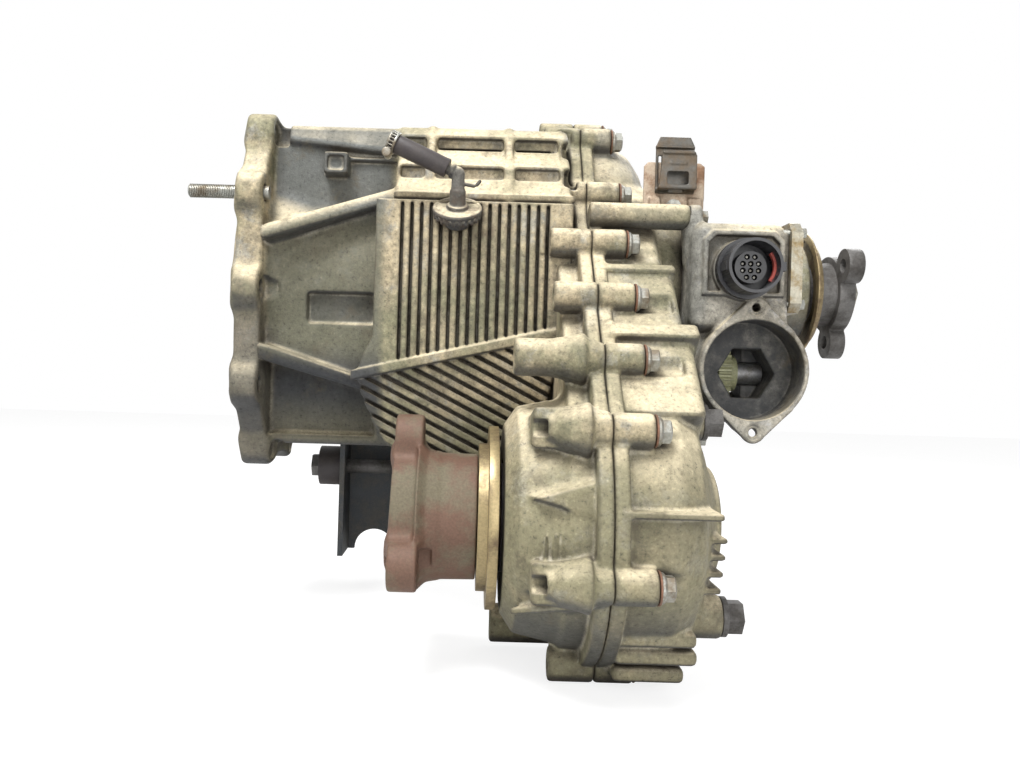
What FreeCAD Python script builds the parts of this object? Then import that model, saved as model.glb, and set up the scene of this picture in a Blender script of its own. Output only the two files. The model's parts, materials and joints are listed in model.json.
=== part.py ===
import FreeCAD, Part
import math
import os
import re
import Sketcher

# Two-speed chain-drive transfer case, millimetres, +Z up.
# Origin: centre of the gearbox flange face on the main axis. +X runs along the shafts to the rear.
# The main axis carries input, planetary set, centre differential, lock clutch and rear output.
# The front output axis lies below and beside it and is driven by a chain.

SIZES = {
    # chain drive and the place of the front output axis
    "chain_pitch": 12.7, "chain_links": 62, "sprocket_teeth": 27, "axis_tilt": 43.2,
    "chain_width": 30, "link_back": 4.5, "link_toe": 5.2, "link_gap": 0.5, "seam_x": 250,
    "sprocket_lead": 0.5, "tooth_clear": 0.8, "chain_room": 7,
    # gearbox flange and bell
    "flange_thick": 20, "flange_lobe": 14, "flange_hole": 5.5, "flange_rim": 6,
    "top_bolt_y": 44, "top_bolt_z": 104, "grid_bolt_y": 72, "high_bolt_z": 54, "low_bolt_z": -84,
    "side_bolt_y": 76, "side_bolt_z": -15, "foot_bolt_y": 34, "foot_bolt_z": -131,
    "stud_round": 5, "stud_neck": 4.4, "stud_reach": 36, "stud_relief": 0.5,
    "bell_depth": 76, "bell_mouth": 62, "bell_throat": 52, "bell_core": 72, "bell_waist": 66,
    "pocket_depth": 30,
    # casing
    "body_front": 113, "wall": 8, "side_y": -92, "far_y": 100, "top_z": 118, "bottom_z": -128,
    "chest_z": 46, "hip_z": -64, "case_round": 80, "seam_rim": 8, "seam_thick": 9,
    "crown_y": 38, "crown_z": 38, "crown_round": 84, "drum_front": 192, "drum_round": 74,
    "case_depth": 50, "boss_round": 10, "bolt_round": 4, "bolt_slack": 0.25,
    "front_boss": 28, "rear_boss": 24,
    # cooling fins
    "fin_count": 15, "fin_pitch": 6.7, "fin_gap": 2.9, "fin_depth": 9, "fin_start": 122,
    "slant_count": 12, "slant_angle": 27, "slant_gap": 4, "slant_pitch": 8,
    # input shaft, seal and bearing
    "seal_width": 8, "input_round": 20, "input_lead": 46, "spline_round": 14,
    "input_bearing_width": 16, "input_bearing_round": 36, "fit_gap": 0.05, "run_gap": 0.3,
    # planetary set
    "gear_module": 1.75, "sun_teeth": 36, "planet_teeth": 12, "ring_teeth": 60, "gear_width": 20,
    "backlash": 0.3, "planet_count": 4, "pin_round": 3.5, "carrier_plate": 5,
    "ring_round": 60, "carrier_round": 51, "drum_bore": 39, "drum_wall": 6,
    # range sleeve, hub and fork
    "clutch_teeth": 24, "clutch_round": 30, "clutch_tooth": 2.6, "dog_width": 6, "sleeve_wall": 4,
    "sleeve_length": 34, "sleeve_flange": 4, "groove_width": 8, "groove_depth": 5, "travel": 12,
    "rail_round": 7, "rail_y": -20, "rail_z": -86, "fork_round": 45, "fork_slack": 0.5,
    "cam_y": -58, "cam_z": -66, "cam_round": 16, "cam_turn": 150, "cam_steps": 15,
    "slot_round": 4.4, "slot_depth": 4, "follower_round": 3.7, "selector_round": 8,
    # centre differential
    "diff_x": 214, "diff_half": 28, "diff_round": 46, "diff_room": 38, "cone_length": 28,
    "bevel_face": 9, "side_teeth": 16, "spider_teeth": 10, "bevel_module": 2.96,
    "spider_pin": 5.5, "cross_ring": 15, "core_shaft": 11,
    # front drive and lock clutch
    "quill_bore": 14, "quill_round": 20, "sprocket_hub": 32, "drum_x": 284, "clutch_drum_round": 60,
    "clutch_length": 38, "plate_count": 5, "plate_thick": 2.2, "plate_step": 5.2,
    "plate_outer": 56.6, "plate_inner": 40, "disc_outer": 53, "disc_inner": 30.1,
    # rear output
    "rear_bearing_x": 332, "rear_bearing_width": 18, "rear_bearing_round": 37, "rear_journal": 17,
    "neck_end": 425, "neck_round": 42, "rear_seal_round": 30, "rear_hub_round": 23,
    "rear_flange_x": 452, "rear_end": 472, "rear_plate": 12, "rear_arm_round": 46,
    "rear_bolt_circle": 76, "rear_shield_x": 433, "rear_shield_round": 49, "shield_thick": 1.6,
    # front output
    "front_bearing_x": 199, "front_bearing_width": 18, "front_bearing_round": 42,
    "front_journal": 20, "front_spline": 16, "front_flange_x": 125, "front_plate": 18,
    "front_hub_round": 40, "front_bolt_circle": 96, "output_hole": 5.25,
    "front_shield_x": 177, "front_shield_round": 57, "front_seal_round": 34,
    "tail_bearing_x": 299, "tail_bearing_width": 15, "tail_bearing_round": 31, "tail_journal": 15,
    # actuator
    "actuator_x": 320, "actuator_end": 394, "actuator_near": -108, "actuator_far": -46,
    "actuator_top": 37, "actuator_low": -104, "seat_x": 363, "seat_z": -64,
    "seat_bore": 34, "seat_wall": 3.5, "seat_near": -110, "seat_depth": 26, "ear_spacing": 85,
    "ear_round": 6.5, "ear_hole": 2.6, "wheel_round": 22, "wheel_teeth": 30, "wheel_x": 347,
    "wheel_width": 10, "cover_thick": 8, "plug_x": 354, "plug_z": 4, "plug_near": -135,
    "plug_round": 18, "plug_wall": 2, "pin_pitch": 5.2, "contact_round": 0.8,
    # breather, cable clip and far-side bracket
    "vent_x": 158, "vent_z": 39, "vent_round": 17, "clip_x": 314, "clip_y": -66, "clip_z": 53,
    "pilot_round": 64, "pilot_depth": 6,
}

doc = FreeCAD.newDocument("TransferCase")
sheet = doc.addObject("Spreadsheet::Sheet", "Sizes")
for row, (name, number) in enumerate(SIZES.items(), start=1):
    sheet.set("A%d" % row, name)
    sheet.set("B%d" % row, str(number))
    sheet.setAlias("B%d" % row, name)
doc.recompute()

Vector = FreeCAD.Vector
ALONG_X = FreeCAD.Rotation(Vector(0, 1, 0), 90)
TO_CAMERA = FreeCAD.Rotation(Vector(1, 0, 0), 90)
UPRIGHT = FreeCAD.Rotation()
YZ = FreeCAD.Rotation(0.5, 0.5, 0.5, 0.5)
XZ = FreeCAD.Rotation(Vector(1, 0, 0), 90)
nodes = []


def linked(text):
    """The expression with every size name read from the sheet."""
    return re.sub(r"[A-Za-z_]\w*", lambda m: "Sizes." + m.group() if m.group() in SIZES else m.group(),
                  str(text))


def size(text):
    """The number that an expression of size names comes to."""
    return float(sheet.evalExpression(linked(text)))


def bind(part, prop, text):
    part.setExpression(prop, linked(text))


def place(part, x=0, y=0, z=0, turn=UPRIGHT):
    part.Placement = FreeCAD.Placement(Vector(), turn)
    for letter, text in zip("xyz", (x, y, z)):
        bind(part, ".Placement.Base." + letter, text)
    return part


def cylinder(name, radius, length, x=0, y=0, z=0, turn=ALONG_X):
    part = doc.addObject("Part::Cylinder", name)
    bind(part, "Radius", radius)
    bind(part, "Height", length)
    return place(part, x, y, z, turn)


def cone(name, radius, end_radius, length, x=0, y=0, z=0, turn=ALONG_X):
    part = doc.addObject("Part::Cone", name)
    bind(part, "Radius1", radius)
    bind(part, "Radius2", end_radius)
    bind(part, "Height", length)
    return place(part, x, y, z, turn)


def box(name, corner, opposite, turn=UPRIGHT):
    """A block between two corners, each given as three expressions."""
    part = doc.addObject("Part::Box", name)
    for prop, low, high in zip(("Length", "Width", "Height"), corner, opposite):
        bind(part, prop, "(%s) - (%s)" % (high, low))
    return place(part, *corner, turn=turn)


def fuse(name, parts):
    part = doc.addObject("Part::MultiFuse", name)
    part.Shapes = parts
    return part


def cut(name, base, tools):
    part = doc.addObject("Part::Cut", name)
    part.Base = base
    part.Tool = tools[0] if len(tools) == 1 else fuse(name + "_tools", tools)
    return part


def draw(sketch, corners):
    """A closed outline of straight sides, its corners bound to pairs of expressions."""
    points = [Vector(size(x), size(y), 0) for x, y in corners]
    for start, end in zip(points, points[1:] + points[:1]):
        sketch.addGeometry(Part.LineSegment(start, end), False)
    for index, (x, y) in enumerate(corners):
        sketch.addConstraint(Sketcher.Constraint("Coincident", index, 2, (index + 1) % len(corners), 1))
        for kind, text in (("DistanceX", x), ("DistanceY", y)):
            held = sketch.addConstraint(Sketcher.Constraint(kind, -1, 1, index, 1, size(text)))
            bind(sketch, "Constraints[%d]" % held, text)


def prism(name, corners, start, length, plane=YZ):
    """An outline pushed out of its plane: along +X from YZ, along -Y from XZ."""
    sketch = doc.addObject("Sketcher::SketchObject", name + "_outline")
    draw(sketch, corners)
    place(sketch, turn=plane)
    bind(sketch, ".Placement.Base." + ("x" if plane == YZ else "y"), start)
    part = doc.addObject("Part::Extrusion", name)
    part.Base = sketch
    part.DirMode = "Custom"
    part.Dir = Vector(1, 0, 0) if plane == YZ else Vector(0, -1, 0)
    bind(part, "LengthFwd", length)
    part.Solid = True
    return part


def origin_plane(body, role):
    return next(item for item in body.Origin.OriginFeatures if item.Role == role)


def profile(body, name, corners):
    sketch = body.newObject("Sketcher::SketchObject", name + "_profile")
    sketch.AttachmentSupport = [(origin_plane(body, "XZ_Plane"), "")]
    sketch.MapMode = "FlatFace"
    draw(sketch, corners)
    return sketch


def spun(name, corners, x=0, y=0, z=0):
    """A turned piece: corners are pairs of station along X and radius."""
    body = doc.addObject("PartDesign::Body", name)
    sketch = profile(body, name, corners)
    turned = body.newObject("PartDesign::Revolution", name + "_turned")
    turned.Profile = sketch
    turned.ReferenceAxis = (sketch, ["H_Axis"])
    turned.Angle = 360
    return place(body, x, y, z)


def tube(name, start, end, inner, outer, y=0, z=0):
    return spun(name, [(start, inner), (end, inner), (end, outer), (start, outer)], y=y, z=z)


def shaped(name, shape):
    """A piece whose form comes from a formula, so its shape is worked out here."""
    part = doc.addObject("Part::Feature", name)
    part.Shape = shape
    return part


def node(part, name):
    part.Label = name
    nodes.append(part)
    return part


def around(count, radius, turn=0):
    """Places of count points on a circle about the X axis, as expression pairs."""
    angles = [turn + 360 * index / count for index in range(count)]
    return [("(%s) * cos(%s)" % (radius, a), "(%s) * sin(%s)" % (radius, a)) for a in angles]


def shifted(place_pair, y, z):
    return ("%s + %s" % (y, place_pair[0]), "%s + %s" % (z, place_pair[1]))


# Front output axis: below the main axis and to its near side, a chain's centre distance away.
CENTRES = "((chain_links - sprocket_teeth) * chain_pitch / 2)"
FRONT_Y = "(0 - %s * sin(axis_tilt))" % CENTRES
FRONT_Z = "(0 - %s * cos(axis_tilt))" % CENTRES
PITCH_ROUND = "(chain_pitch / 2 / sin(180 / sprocket_teeth))"
SIDE_Y = "(0 - cos(axis_tilt))"
SIDE_Z = "sin(axis_tilt)"
CHAIN_ROOM = "(%s + link_back + chain_room)" % PITCH_ROUND


def rail_plate(name, radius, start, length):
    """A plate with round ends about the two shaft axes and straight sides between them."""
    corners = []
    for y, z, sign in ((0, 0, 1), (FRONT_Y, FRONT_Z, 1), (FRONT_Y, FRONT_Z, -1), (0, 0, -1)):
        corners.append(("%s + %d * (%s) * %s" % (y, sign, radius, SIDE_Y),
                        "%s + %d * (%s) * %s" % (z, sign, radius, SIDE_Z)))
    ends = [cylinder(name + "_main_end", radius, length, start),
            cylinder(name + "_front_end", radius, length, start, FRONT_Y, FRONT_Z)]
    return fuse(name, [prism(name + "_middle", corners, start, length)] + ends)


def bolt_shape(radius, length, head=None, flange=None):
    """A flanged hexagon bolt along +X, its head seat at the origin and its shank behind it."""
    width = 1.25 * radius if head is None else head
    height = 1.6 * radius
    corners = [Vector(0, width * 1.155 * math.cos(math.radians(60 * i)),
                      width * 1.155 * math.sin(math.radians(60 * i))) for i in range(6)]
    hexagon = Part.Face(Part.makePolygon(corners + corners[:1])).extrude(Vector(height, 0, 0))
    collar = Part.makeCylinder(flange or 1.9 * radius, 0.4 * radius, Vector(), Vector(1, 0, 0))
    shank = Part.makeCylinder(radius, length, Vector(-length, 0, 0), Vector(1, 0, 0))
    return hexagon.fuse([collar, shank]).removeSplitter()


def group(name, shape, places, turn=UPRIGHT):
    """Equal pieces at several places, kept as separate solids of one node."""
    copies = []
    for spot in places:
        copy = shape.copy()
        copy.Placement = FreeCAD.Placement(Vector(*spot), turn)
        copies.append(copy)
    return shaped(name, Part.makeCompound(copies))


# ---------------------------------------------------------------- casing

def seam_points():
    """Bolt places round the casing seam, as expression pairs."""
    off = "(case_round + seam_rim)"
    points = []
    for sign, shares in ((1, (0, 0.25, 0.5, 0.75, 1)), (-1, (0.35, 0.7))):
        for share in shares:
            points.append(("%g * %s + %d * %s * %s" % (share, FRONT_Y, sign, off, SIDE_Y),
                           "%g * %s + %d * %s * %s" % (share, FRONT_Z, sign, off, SIDE_Z)))
    for angle in (195, 258, 310):
        points.append(("%s + %s * cos(%d)" % (FRONT_Y, off, angle),
                       "%s + %s * sin(%d)" % (FRONT_Z, off, angle)))
    for angle in (-20, 20, 58, 92, 126):
        points.append(("crown_y + (crown_round + seam_rim) * cos(%d)" % angle,
                       "crown_z + (crown_round + seam_rim) * sin(%d)" % angle))
    return points


SEAM = seam_points()
HALF_FLANGE = [("top_bolt_y", "top_bolt_z"), ("grid_bolt_y", "high_bolt_z"),
               ("side_bolt_y", "side_bolt_z"), ("grid_bolt_y", "low_bolt_z"),
               ("foot_bolt_y", "foot_bolt_z")]
FLANGE = HALF_FLANGE + [("0 - " + y, z) for y, z in reversed(HALF_FLANGE)]


def gearbox_flange():
    """The wavy bolting flange: a plate through the bolt places with a lobe round each."""
    plate = prism("flange_plate", [("%s * (1 + flange_rim / 100)" % y, "%s * (1 + flange_rim / 100)" % z)
                                   for y, z in FLANGE], 0, "flange_thick")
    lobes = [cylinder("flange_lobe_%d" % i, "flange_lobe", "flange_thick", 0, y, z)
             for i, (y, z) in enumerate(FLANGE)]
    return [plate] + lobes


def body_outline():
    return [("side_y", "hip_z"), ("side_y", "chest_z"), ("side_y + 22", "chest_z + 16"),
            ("side_y + 62", "top_z"), ("far_y - 22", "top_z"), ("far_y", "top_z - 26"),
            ("far_y", "hip_z"), ("far_y - 42", "bottom_z + 6"), ("side_y + 36", "bottom_z")]


def inset_prism(name, source, source_start, inset, start, length):
    """The outline of a prism drawn in by a wall and pushed out again."""
    offset = doc.addObject("Part::Offset2D", name + "_inset")
    offset.Source = source.Base
    bind(offset, "Value", "0 - (%s)" % inset)
    offset.Join = 2
    part = doc.addObject("Part::Extrusion", name)
    part.Base = offset
    part.DirMode = "Custom"
    part.Dir = Vector(1, 0, 0)
    bind(part, "LengthFwd", length)
    part.Solid = True
    bind(part, ".Placement.Base.x", "(%s) - (%s)" % (start, source_start))
    return part


def bell():
    """The hollow nose between the gearbox flange and the gear chamber, with its webs."""
    core = spun("bell_core_wall", [(0, "0"), (0, "bell_core"), ("flange_thick", "bell_core"),
                                   ("flange_thick + 30", "bell_waist"),
                                   ("body_front + 4", "bell_waist + 4"), ("body_front + 4", "0")])
    block = prism("bell_block", [("side_y + 2", "hip_z + 6"), ("side_y + 2", "chest_z - 26"),
                                 ("side_y + 50", "top_z - 6"), ("far_y - 30", "top_z - 6"),
                                 ("far_y - 12", "hip_z"), ("far_y - 56", "bottom_z"),
                                 ("side_y + 50", "bottom_z")], "flange_thick - 1",
                  "body_front - flange_thick + 2")
    near_pocket = prism("near_pocket",
                        [("flange_thick", "chest_z - 28"), ("body_front", "chest_z + 4"),
                         ("body_front", "hip_z - 12"), ("body_front - 24", "hip_z - 12"),
                         ("flange_thick", "hip_z + 10")],
                        "side_y + pocket_depth", "pocket_depth + 20", XZ)
    top_pocket = prism("top_pocket",
                       [("flange_thick", "chest_z - 16"), ("body_front", "chest_z + 16"),
                        ("body_front", "top_z - 30"), ("flange_thick", "top_z - 20")],
                       "side_y + pocket_depth + 16", "pocket_depth + 40", XZ)
    low_pocket = prism("low_pocket",
                       [("flange_thick", "hip_z - 2"), ("body_front - 14", "hip_z - 24"),
                        ("body_front - 14", "bottom_z + 8"), ("flange_thick", "bottom_z + 8")],
                       "side_y + pocket_depth + 24", "pocket_depth + 50", XZ)
    far_pocket = prism("far_pocket",
                       [("flange_thick", "top_z - 36"), ("body_front", "top_z - 36"),
                        ("body_front", "hip_z + 14"), ("flange_thick", "hip_z + 14")],
                       "far_y + 20", "20 + 70", XZ)
    far_low_pocket = prism("far_low_pocket",
                           [("flange_thick", "hip_z + 4"), ("body_front - 8", "hip_z + 4"),
                            ("body_front - 8", "bottom_z + 8"), ("flange_thick", "bottom_z + 8")],
                           "far_y + 20", "20 + 76", XZ)
    webbed = cut("bell_webs", block,
                 [near_pocket, top_pocket, low_pocket, far_pocket, far_low_pocket])
    top_plate = box("top_plate", ("flange_thick - 1", "side_y + 58", "top_z - 10"),
                    ("body_front + 1", "far_y - 22", "top_z"))
    return [core, webbed, top_plate]


def vertical_fins():
    """The flat near wall with its upright cooling fins."""
    count = int(size("fin_count"))
    slab = box("fin_slab", ("body_front", "side_y - fin_depth + 1", "hip_z"),
               ("body_front + fin_count * fin_pitch + 20", "side_y + 1", "chest_z"))
    gaps = [box("fin_gap_%d" % i,
                ("fin_start + %d * fin_pitch" % i, "side_y - fin_depth - 1", "hip_z - 1"),
                ("fin_start + %d * fin_pitch + fin_gap" % i, "side_y - 0.5", "chest_z - 4"))
            for i in range(count)]
    return cut("fin_wall", slab, gaps)


def slanted_fins():
    """The sloping underside wall with fins that fall towards the chain case."""
    wedge = prism("slant_wedge",
                  [("side_y - fin_depth + 1", "hip_z"), ("side_y + 1", "hip_z + 6"),
                   ("side_y + 60", "hip_z"), ("side_y + 60", "bottom_z - 4"),
                   ("side_y + 36", "bottom_z - 4")], "body_front - 12", "drum_front - body_front + 26")
    count = int(size("slant_count"))
    run = size("drum_front") - size("body_front") + 90
    gap = Part.makeBox(run, 90, size("slant_gap"))
    gap.translate(Vector(-run / 2, -80, 0))
    depth = Part.makeBox(400, 90, 400)
    depth.translate(Vector(-200, -90, -200))
    tools = []
    for index in range(count):
        tool = gap.copy()
        tool.rotate(Vector(), Vector(0, 1, 0), size("slant_angle"))
        tool.translate(Vector(size("body_front") + 40, 0, size("hip_z") + 32
                              - index * size("slant_pitch") / math.cos(math.radians(size("slant_angle")))))
        tools.append(tool)
    slope = Vector(0, size("bottom_z") - size("hip_z"), -(36 + size("fin_depth"))).normalize()
    keep = depth.copy()
    tilt = math.degrees(math.atan2(36 + size("fin_depth"), size("hip_z") - size("bottom_z")))
    keep.rotate(Vector(), Vector(1, 0, 0), tilt)
    keep.translate(Vector(size("body_front"), size("side_y") + 8, size("hip_z") + 6))
    grooves = shaped("slant_grooves", Part.makeCompound(tools).common(keep))
    return cut("slant_wall", wedge, [grooves])


DOWELS = [("0.12 * %s + (case_round + 2) * %s" % (FRONT_Y, SIDE_Y),
           "0.12 * %s + (case_round + 2) * %s" % (FRONT_Z, SIDE_Z)),
          ("0.9 * %s - (case_round + 2) * %s" % (FRONT_Y, SIDE_Y),
           "0.9 * %s - (case_round + 2) * %s" % (FRONT_Z, SIDE_Z))]
BRACKET_BOLTS = [("body_front + 12", "hip_z + 10"), ("body_front + 12", "hip_z + 34")]


def dowel_holes(name):
    return [cylinder("%s_%d" % (name, i), "3 + fit_gap", "17", "seam_x - 8.5", y, z)
            for i, (y, z) in enumerate(DOWELS)]


def bolt_holes(name, start, length, radius="bolt_round + bolt_slack"):
    return [cylinder("%s_%d" % (name, i), radius, length, start, y, z) for i, (y, z) in enumerate(SEAM)]


def front_housing():
    gear_case = prism("gear_case", body_outline(), "body_front", "seam_x - 12 - body_front")
    rim = "case_round + seam_rim"
    solids = gearbox_flange() + bell() + [gear_case, vertical_fins(), slanted_fins()]
    solids += [rail_plate("chain_wall", "case_round - 3", "seam_x - 22", "22"),
               rail_plate("front_rim", rim, "seam_x - seam_thick", "seam_thick"),
               cylinder("front_crown", "crown_round - 3", 20, "seam_x - 20", "crown_y", "crown_z"),
               cylinder("front_crown_rim", "crown_round + seam_rim", "seam_thick",
                        "seam_x - seam_thick", "crown_y", "crown_z"),
               spun("front_drum", [("drum_front", "0"), ("drum_front", "drum_round - 14"),
                                   ("drum_front + 8", "drum_round - 4"),
                                   ("drum_front + 26", "drum_round"), ("seam_x - 4", "drum_round + 3"),
                                   ("seam_x - 4", "0")], y=FRONT_Y, z=FRONT_Z)]
    solids += [cylinder("front_boss_%d" % i, "boss_round", "front_boss", "seam_x - front_boss", y, z)
               for i, (y, z) in enumerate(SEAM)]
    long_boss = SEAM[3]
    solids.append(cylinder("long_boss", "boss_round + 1.5", "seam_x - drum_front + 2",
                           "drum_front - 2", *long_boss))
    solids.append(cylinder("low_boss", "13", "seam_x - drum_front", "drum_front",
                           FRONT_Y + " + 50", FRONT_Z + " - 80"))
    for i, (y, z) in enumerate((SEAM[3], SEAM[4], SEAM[7])):
        solids.append(cone("boss_web_%d" % i, "2", "boss_round + 6", 34, "seam_x - 46", y, z))
    chamber = inset_prism("gear_room", gear_case, "body_front", "wall", ROOM_X, "seam_x - 24 - (%s)" % ROOM_X)
    rooms = [
        spun("bell_room", [(-1, "0"), (-1, "bell_mouth"), ("bell_depth", "bell_throat"),
                           ("bell_depth", "0")]),
        cylinder("pilot_recess", "pilot_round", "pilot_depth + 1", -1),
        cylinder("input_seal_seat", "input_bearing_round - 6", "seal_width + 1", "bell_depth - 0.5"),
        cylinder("input_bearing_seat", "input_bearing_round + fit_gap", "input_bearing_width + 4",
                 "bell_depth + seal_width"),
        cylinder("ring_seat", "ring_round + fit_gap", "%s - (%s)" % (RING_END, INPUT_BEARING_END),
                 INPUT_BEARING_END),
        chamber,
        cylinder("rear_opening", "diff_round + 16", "30", "224"),
        cylinder("selector_pass", "12", "30", "224", "cam_y", "cam_z"),
        cylinder("selector_bush", "selector_round + fit_gap", "14", "120", "cam_y", "cam_z"),
        cylinder("rail_bush", "rail_round + fit_gap", "130", "118", "rail_y", "rail_z"),
        rail_plate("chain_room_front", CHAIN_ROOM, "seam_x - 7", "8"),
        cylinder("front_seal_seat", "front_seal_round + fit_gap", "seal_width + 2", "drum_front - 1",
                 FRONT_Y, FRONT_Z),
        cylinder("front_bearing_seat", "front_bearing_round + fit_gap", "front_bearing_width + 0.5",
                 "front_bearing_x", FRONT_Y, FRONT_Z),
        cylinder("front_shaft_room", "front_bearing_round - 8", "40", "front_bearing_x + 4",
                 FRONT_Y, FRONT_Z)]
    rooms += bolt_holes("front_hole", "seam_x - front_boss - 30", "front_boss + 32")
    rooms += dowel_holes("front_dowel")
    rooms += [cylinder("bracket_tap_%d" % i, "5 + fit_gap", "7", x, "far_y + 0.5", z, TO_CAMERA)
              for i, (x, z) in enumerate(BRACKET_BOLTS)]
    rooms += [cylinder("flange_hole_%d" % i, "flange_hole", "flange_thick + 2", -1, y, z)
              for i, (y, z) in enumerate(FLANGE) if i != 8]
    rooms.append(cylinder("stud_hole", "stud_round + fit_gap", "flange_thick + 2", -1, *FLANGE[8]))
    return node(cut("front_casing", fuse("front_solid", solids), rooms), "front_housing")


RING_X = "(bell_depth + seal_width + input_bearing_width + 8)"
INPUT_BEARING_END = "bell_depth + seal_width + input_bearing_width"
RING_END = "(%s + gear_width)" % RING_X
ROOM_X = "(%s + gear_width - 0.5)" % RING_X


def rear_housing():
    rim = "case_round + seam_rim"
    reach = "(seam_x + case_depth)"
    solids = [rail_plate("rear_rim", rim, "seam_x", "seam_thick"),
              cylinder("rear_crown_rim", "crown_round + seam_rim", "seam_thick", "seam_x",
                       "crown_y", "crown_z"),
              rail_plate("rear_shell", "case_round - 1", "seam_x", "case_depth - 8"),
              rail_plate("rear_shell_step", "case_round - 9", "seam_x", "case_depth + 4"),
              spun("crown_dome", [("seam_x", "0"), ("seam_x", "crown_round"),
                                  ("seam_x + 20", "crown_round"), ("seam_x + 38", "crown_round - 7"),
                                  ("seam_x + 50", "crown_round - 20"),
                                  ("seam_x + 58", "crown_round - 40"), ("seam_x + 58", "0")],
                   y="crown_y", z="crown_z"),
              spun("main_dome", [("seam_x", "0"), ("seam_x", "case_round"),
                                 ("seam_x + 60", "case_round - 3"), ("seam_x + 74", "case_round - 8"),
                                 ("rear_bearing_x", "case_round - 16"),
                                 ("rear_bearing_x + 6", "neck_round + 8"),
                                 ("rear_bearing_x + 22", "neck_round + 3"),
                                 ("neck_end", "neck_round"), ("neck_end", "0")]),
              spun("front_dome", [("seam_x", "0"), ("seam_x", "case_round"),
                                  (reach + " - 12", "case_round - 1"), (reach, "case_round - 8"),
                                  (reach + " + 10", "case_round - 22"),
                                  (reach + " + 16", "tail_bearing_round + 8"),
                                  (reach + " + 22", "tail_bearing_round + 4"), (reach + " + 22", "0")],
                   y=FRONT_Y, z=FRONT_Z),
              cylinder("selector_boss", "selector_round + 6", "case_depth + 18", "seam_x",
                       "cam_y", "cam_z")]
    solids += [cylinder("rear_boss_%d" % i, "boss_round", "rear_boss", "seam_x", y, z)
               for i, (y, z) in enumerate(SEAM)]
    solids += [cylinder("actuator_boss_%d" % i, "9", "actuator_x - seam_x", "seam_x", y, z)
               for i, (y, z) in enumerate(ACTUATOR_EARS)]
    solids += rear_ribs()
    rooms = [rail_plate("chain_room_rear", CHAIN_ROOM, "seam_x - 1", "chain_width + 12"),
             cylinder("clutch_room", "clutch_drum_round + 3", "clutch_length + 10",
                      "drum_x - 4"),
             cylinder("rear_bearing_seat", "rear_bearing_round + fit_gap",
                      "rear_bearing_width + 12", "rear_bearing_x - 12"),
             cylinder("neck_bore", "rear_journal + 5", "neck_end - rear_bearing_x", "rear_bearing_x"),
             cylinder("rear_seal_seat", "rear_seal_round + fit_gap", "seal_width + 4",
                      "neck_end - seal_width - 2"),
             cylinder("tail_bearing_seat", "tail_bearing_round + fit_gap", "tail_bearing_width + 14",
                      "tail_bearing_x - 14", FRONT_Y, FRONT_Z),
             cylinder("selector_bore", "selector_round + fit_gap", "case_depth + 60", "seam_x - 1",
                      "cam_y", "cam_z")]
    rooms += dowel_holes("rear_dowel")
    rooms.append(cylinder("bracket_screw_tap", "3 + fit_gap", "16", "clip_x", "clip_y + 18",
                          "clip_z", TO_CAMERA))
    rooms += bolt_holes("rear_hole", "seam_x - 1", "rear_boss + 60")
    rooms += [cylinder("spot_face_%d" % i, "boss_round - 0.5", "60", "seam_x + rear_boss", y, z)
              for i, (y, z) in enumerate(SEAM)]
    rooms += [cylinder("ear_tap_%d" % i, "3 + fit_gap", "24", "actuator_x - 22", y, z)
              for i, (y, z) in enumerate(ACTUATOR_EARS)]
    rooms += [cylinder("plug_tap_%d" % i, "8 + fit_gap", "26", reach, y, z)
              for i, (y, z) in enumerate(PLUGS)]
    return node(cut("rear_casing", fuse("rear_solid", solids), rooms), "rear_housing")


ACTUATOR_EARS = [("side_y + 4", "actuator_top + 5"), ("actuator_near + 8", "actuator_low - 8"),
                 ("actuator_near + 48", "actuator_low - 10")]
PLUGS = [(FRONT_Y + " - 26", FRONT_Z + " - 52"), (FRONT_Y + " + 30", FRONT_Z + " + 62")]


def rear_ribs():
    """Cooling ribs, the shelf rib and the stepped sump of the rear casing."""
    reach = "(seam_x + case_depth)"
    near = "(%s - case_round)" % FRONT_Y
    ribs = [box("long_rib", ("seam_x + 4", near + " - 10", FRONT_Z + " + 6"),
                ("seam_x + 72", near + " + 40", FRONT_Z + " + 10.5")),
            box("shelf_rib", ("seam_x + 4", FRONT_Y + " - 70", FRONT_Z + " + 62"),
                ("seam_x + 66", FRONT_Y + " + 10", FRONT_Z + " + 70"))]
    for index in range(3):
        ribs.append(box("tail_rib_%d" % index,
                        (reach, FRONT_Y + " - 62", FRONT_Z + " - %d" % (5 + 14 * index)),
                        (reach + " + %d" % (27 - 2 * index), FRONT_Y + " + 20",
                         FRONT_Z + " - %d" % (1 + 14 * index))))
    for index in range(2):
        ribs.append(cylinder("sump_band_%d" % index, "case_round + %g" % (1.5 - 7 * index), 5,
                             "seam_x + %d" % (20 + 16 * index), FRONT_Y, FRONT_Z))
    ribs += [cylinder("plug_boss_%d" % i, "13", "24", reach, y, z) for i, (y, z) in enumerate(PLUGS)]
    ribs.append(cylinder("clip_boss", "8", "24", "clip_x", "clip_y + 26.5",
                         "clip_z", TO_CAMERA))
    ribs += [cylinder("lift_boss", "9", "30", "seam_x + 20", "crown_y - 20", "crown_z + crown_round")]
    return ribs


# ---------------------------------------------------------------- gears and teeth

PRESSURE = math.radians(25)


def involute(angle):
    return math.tan(angle) - angle


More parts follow.
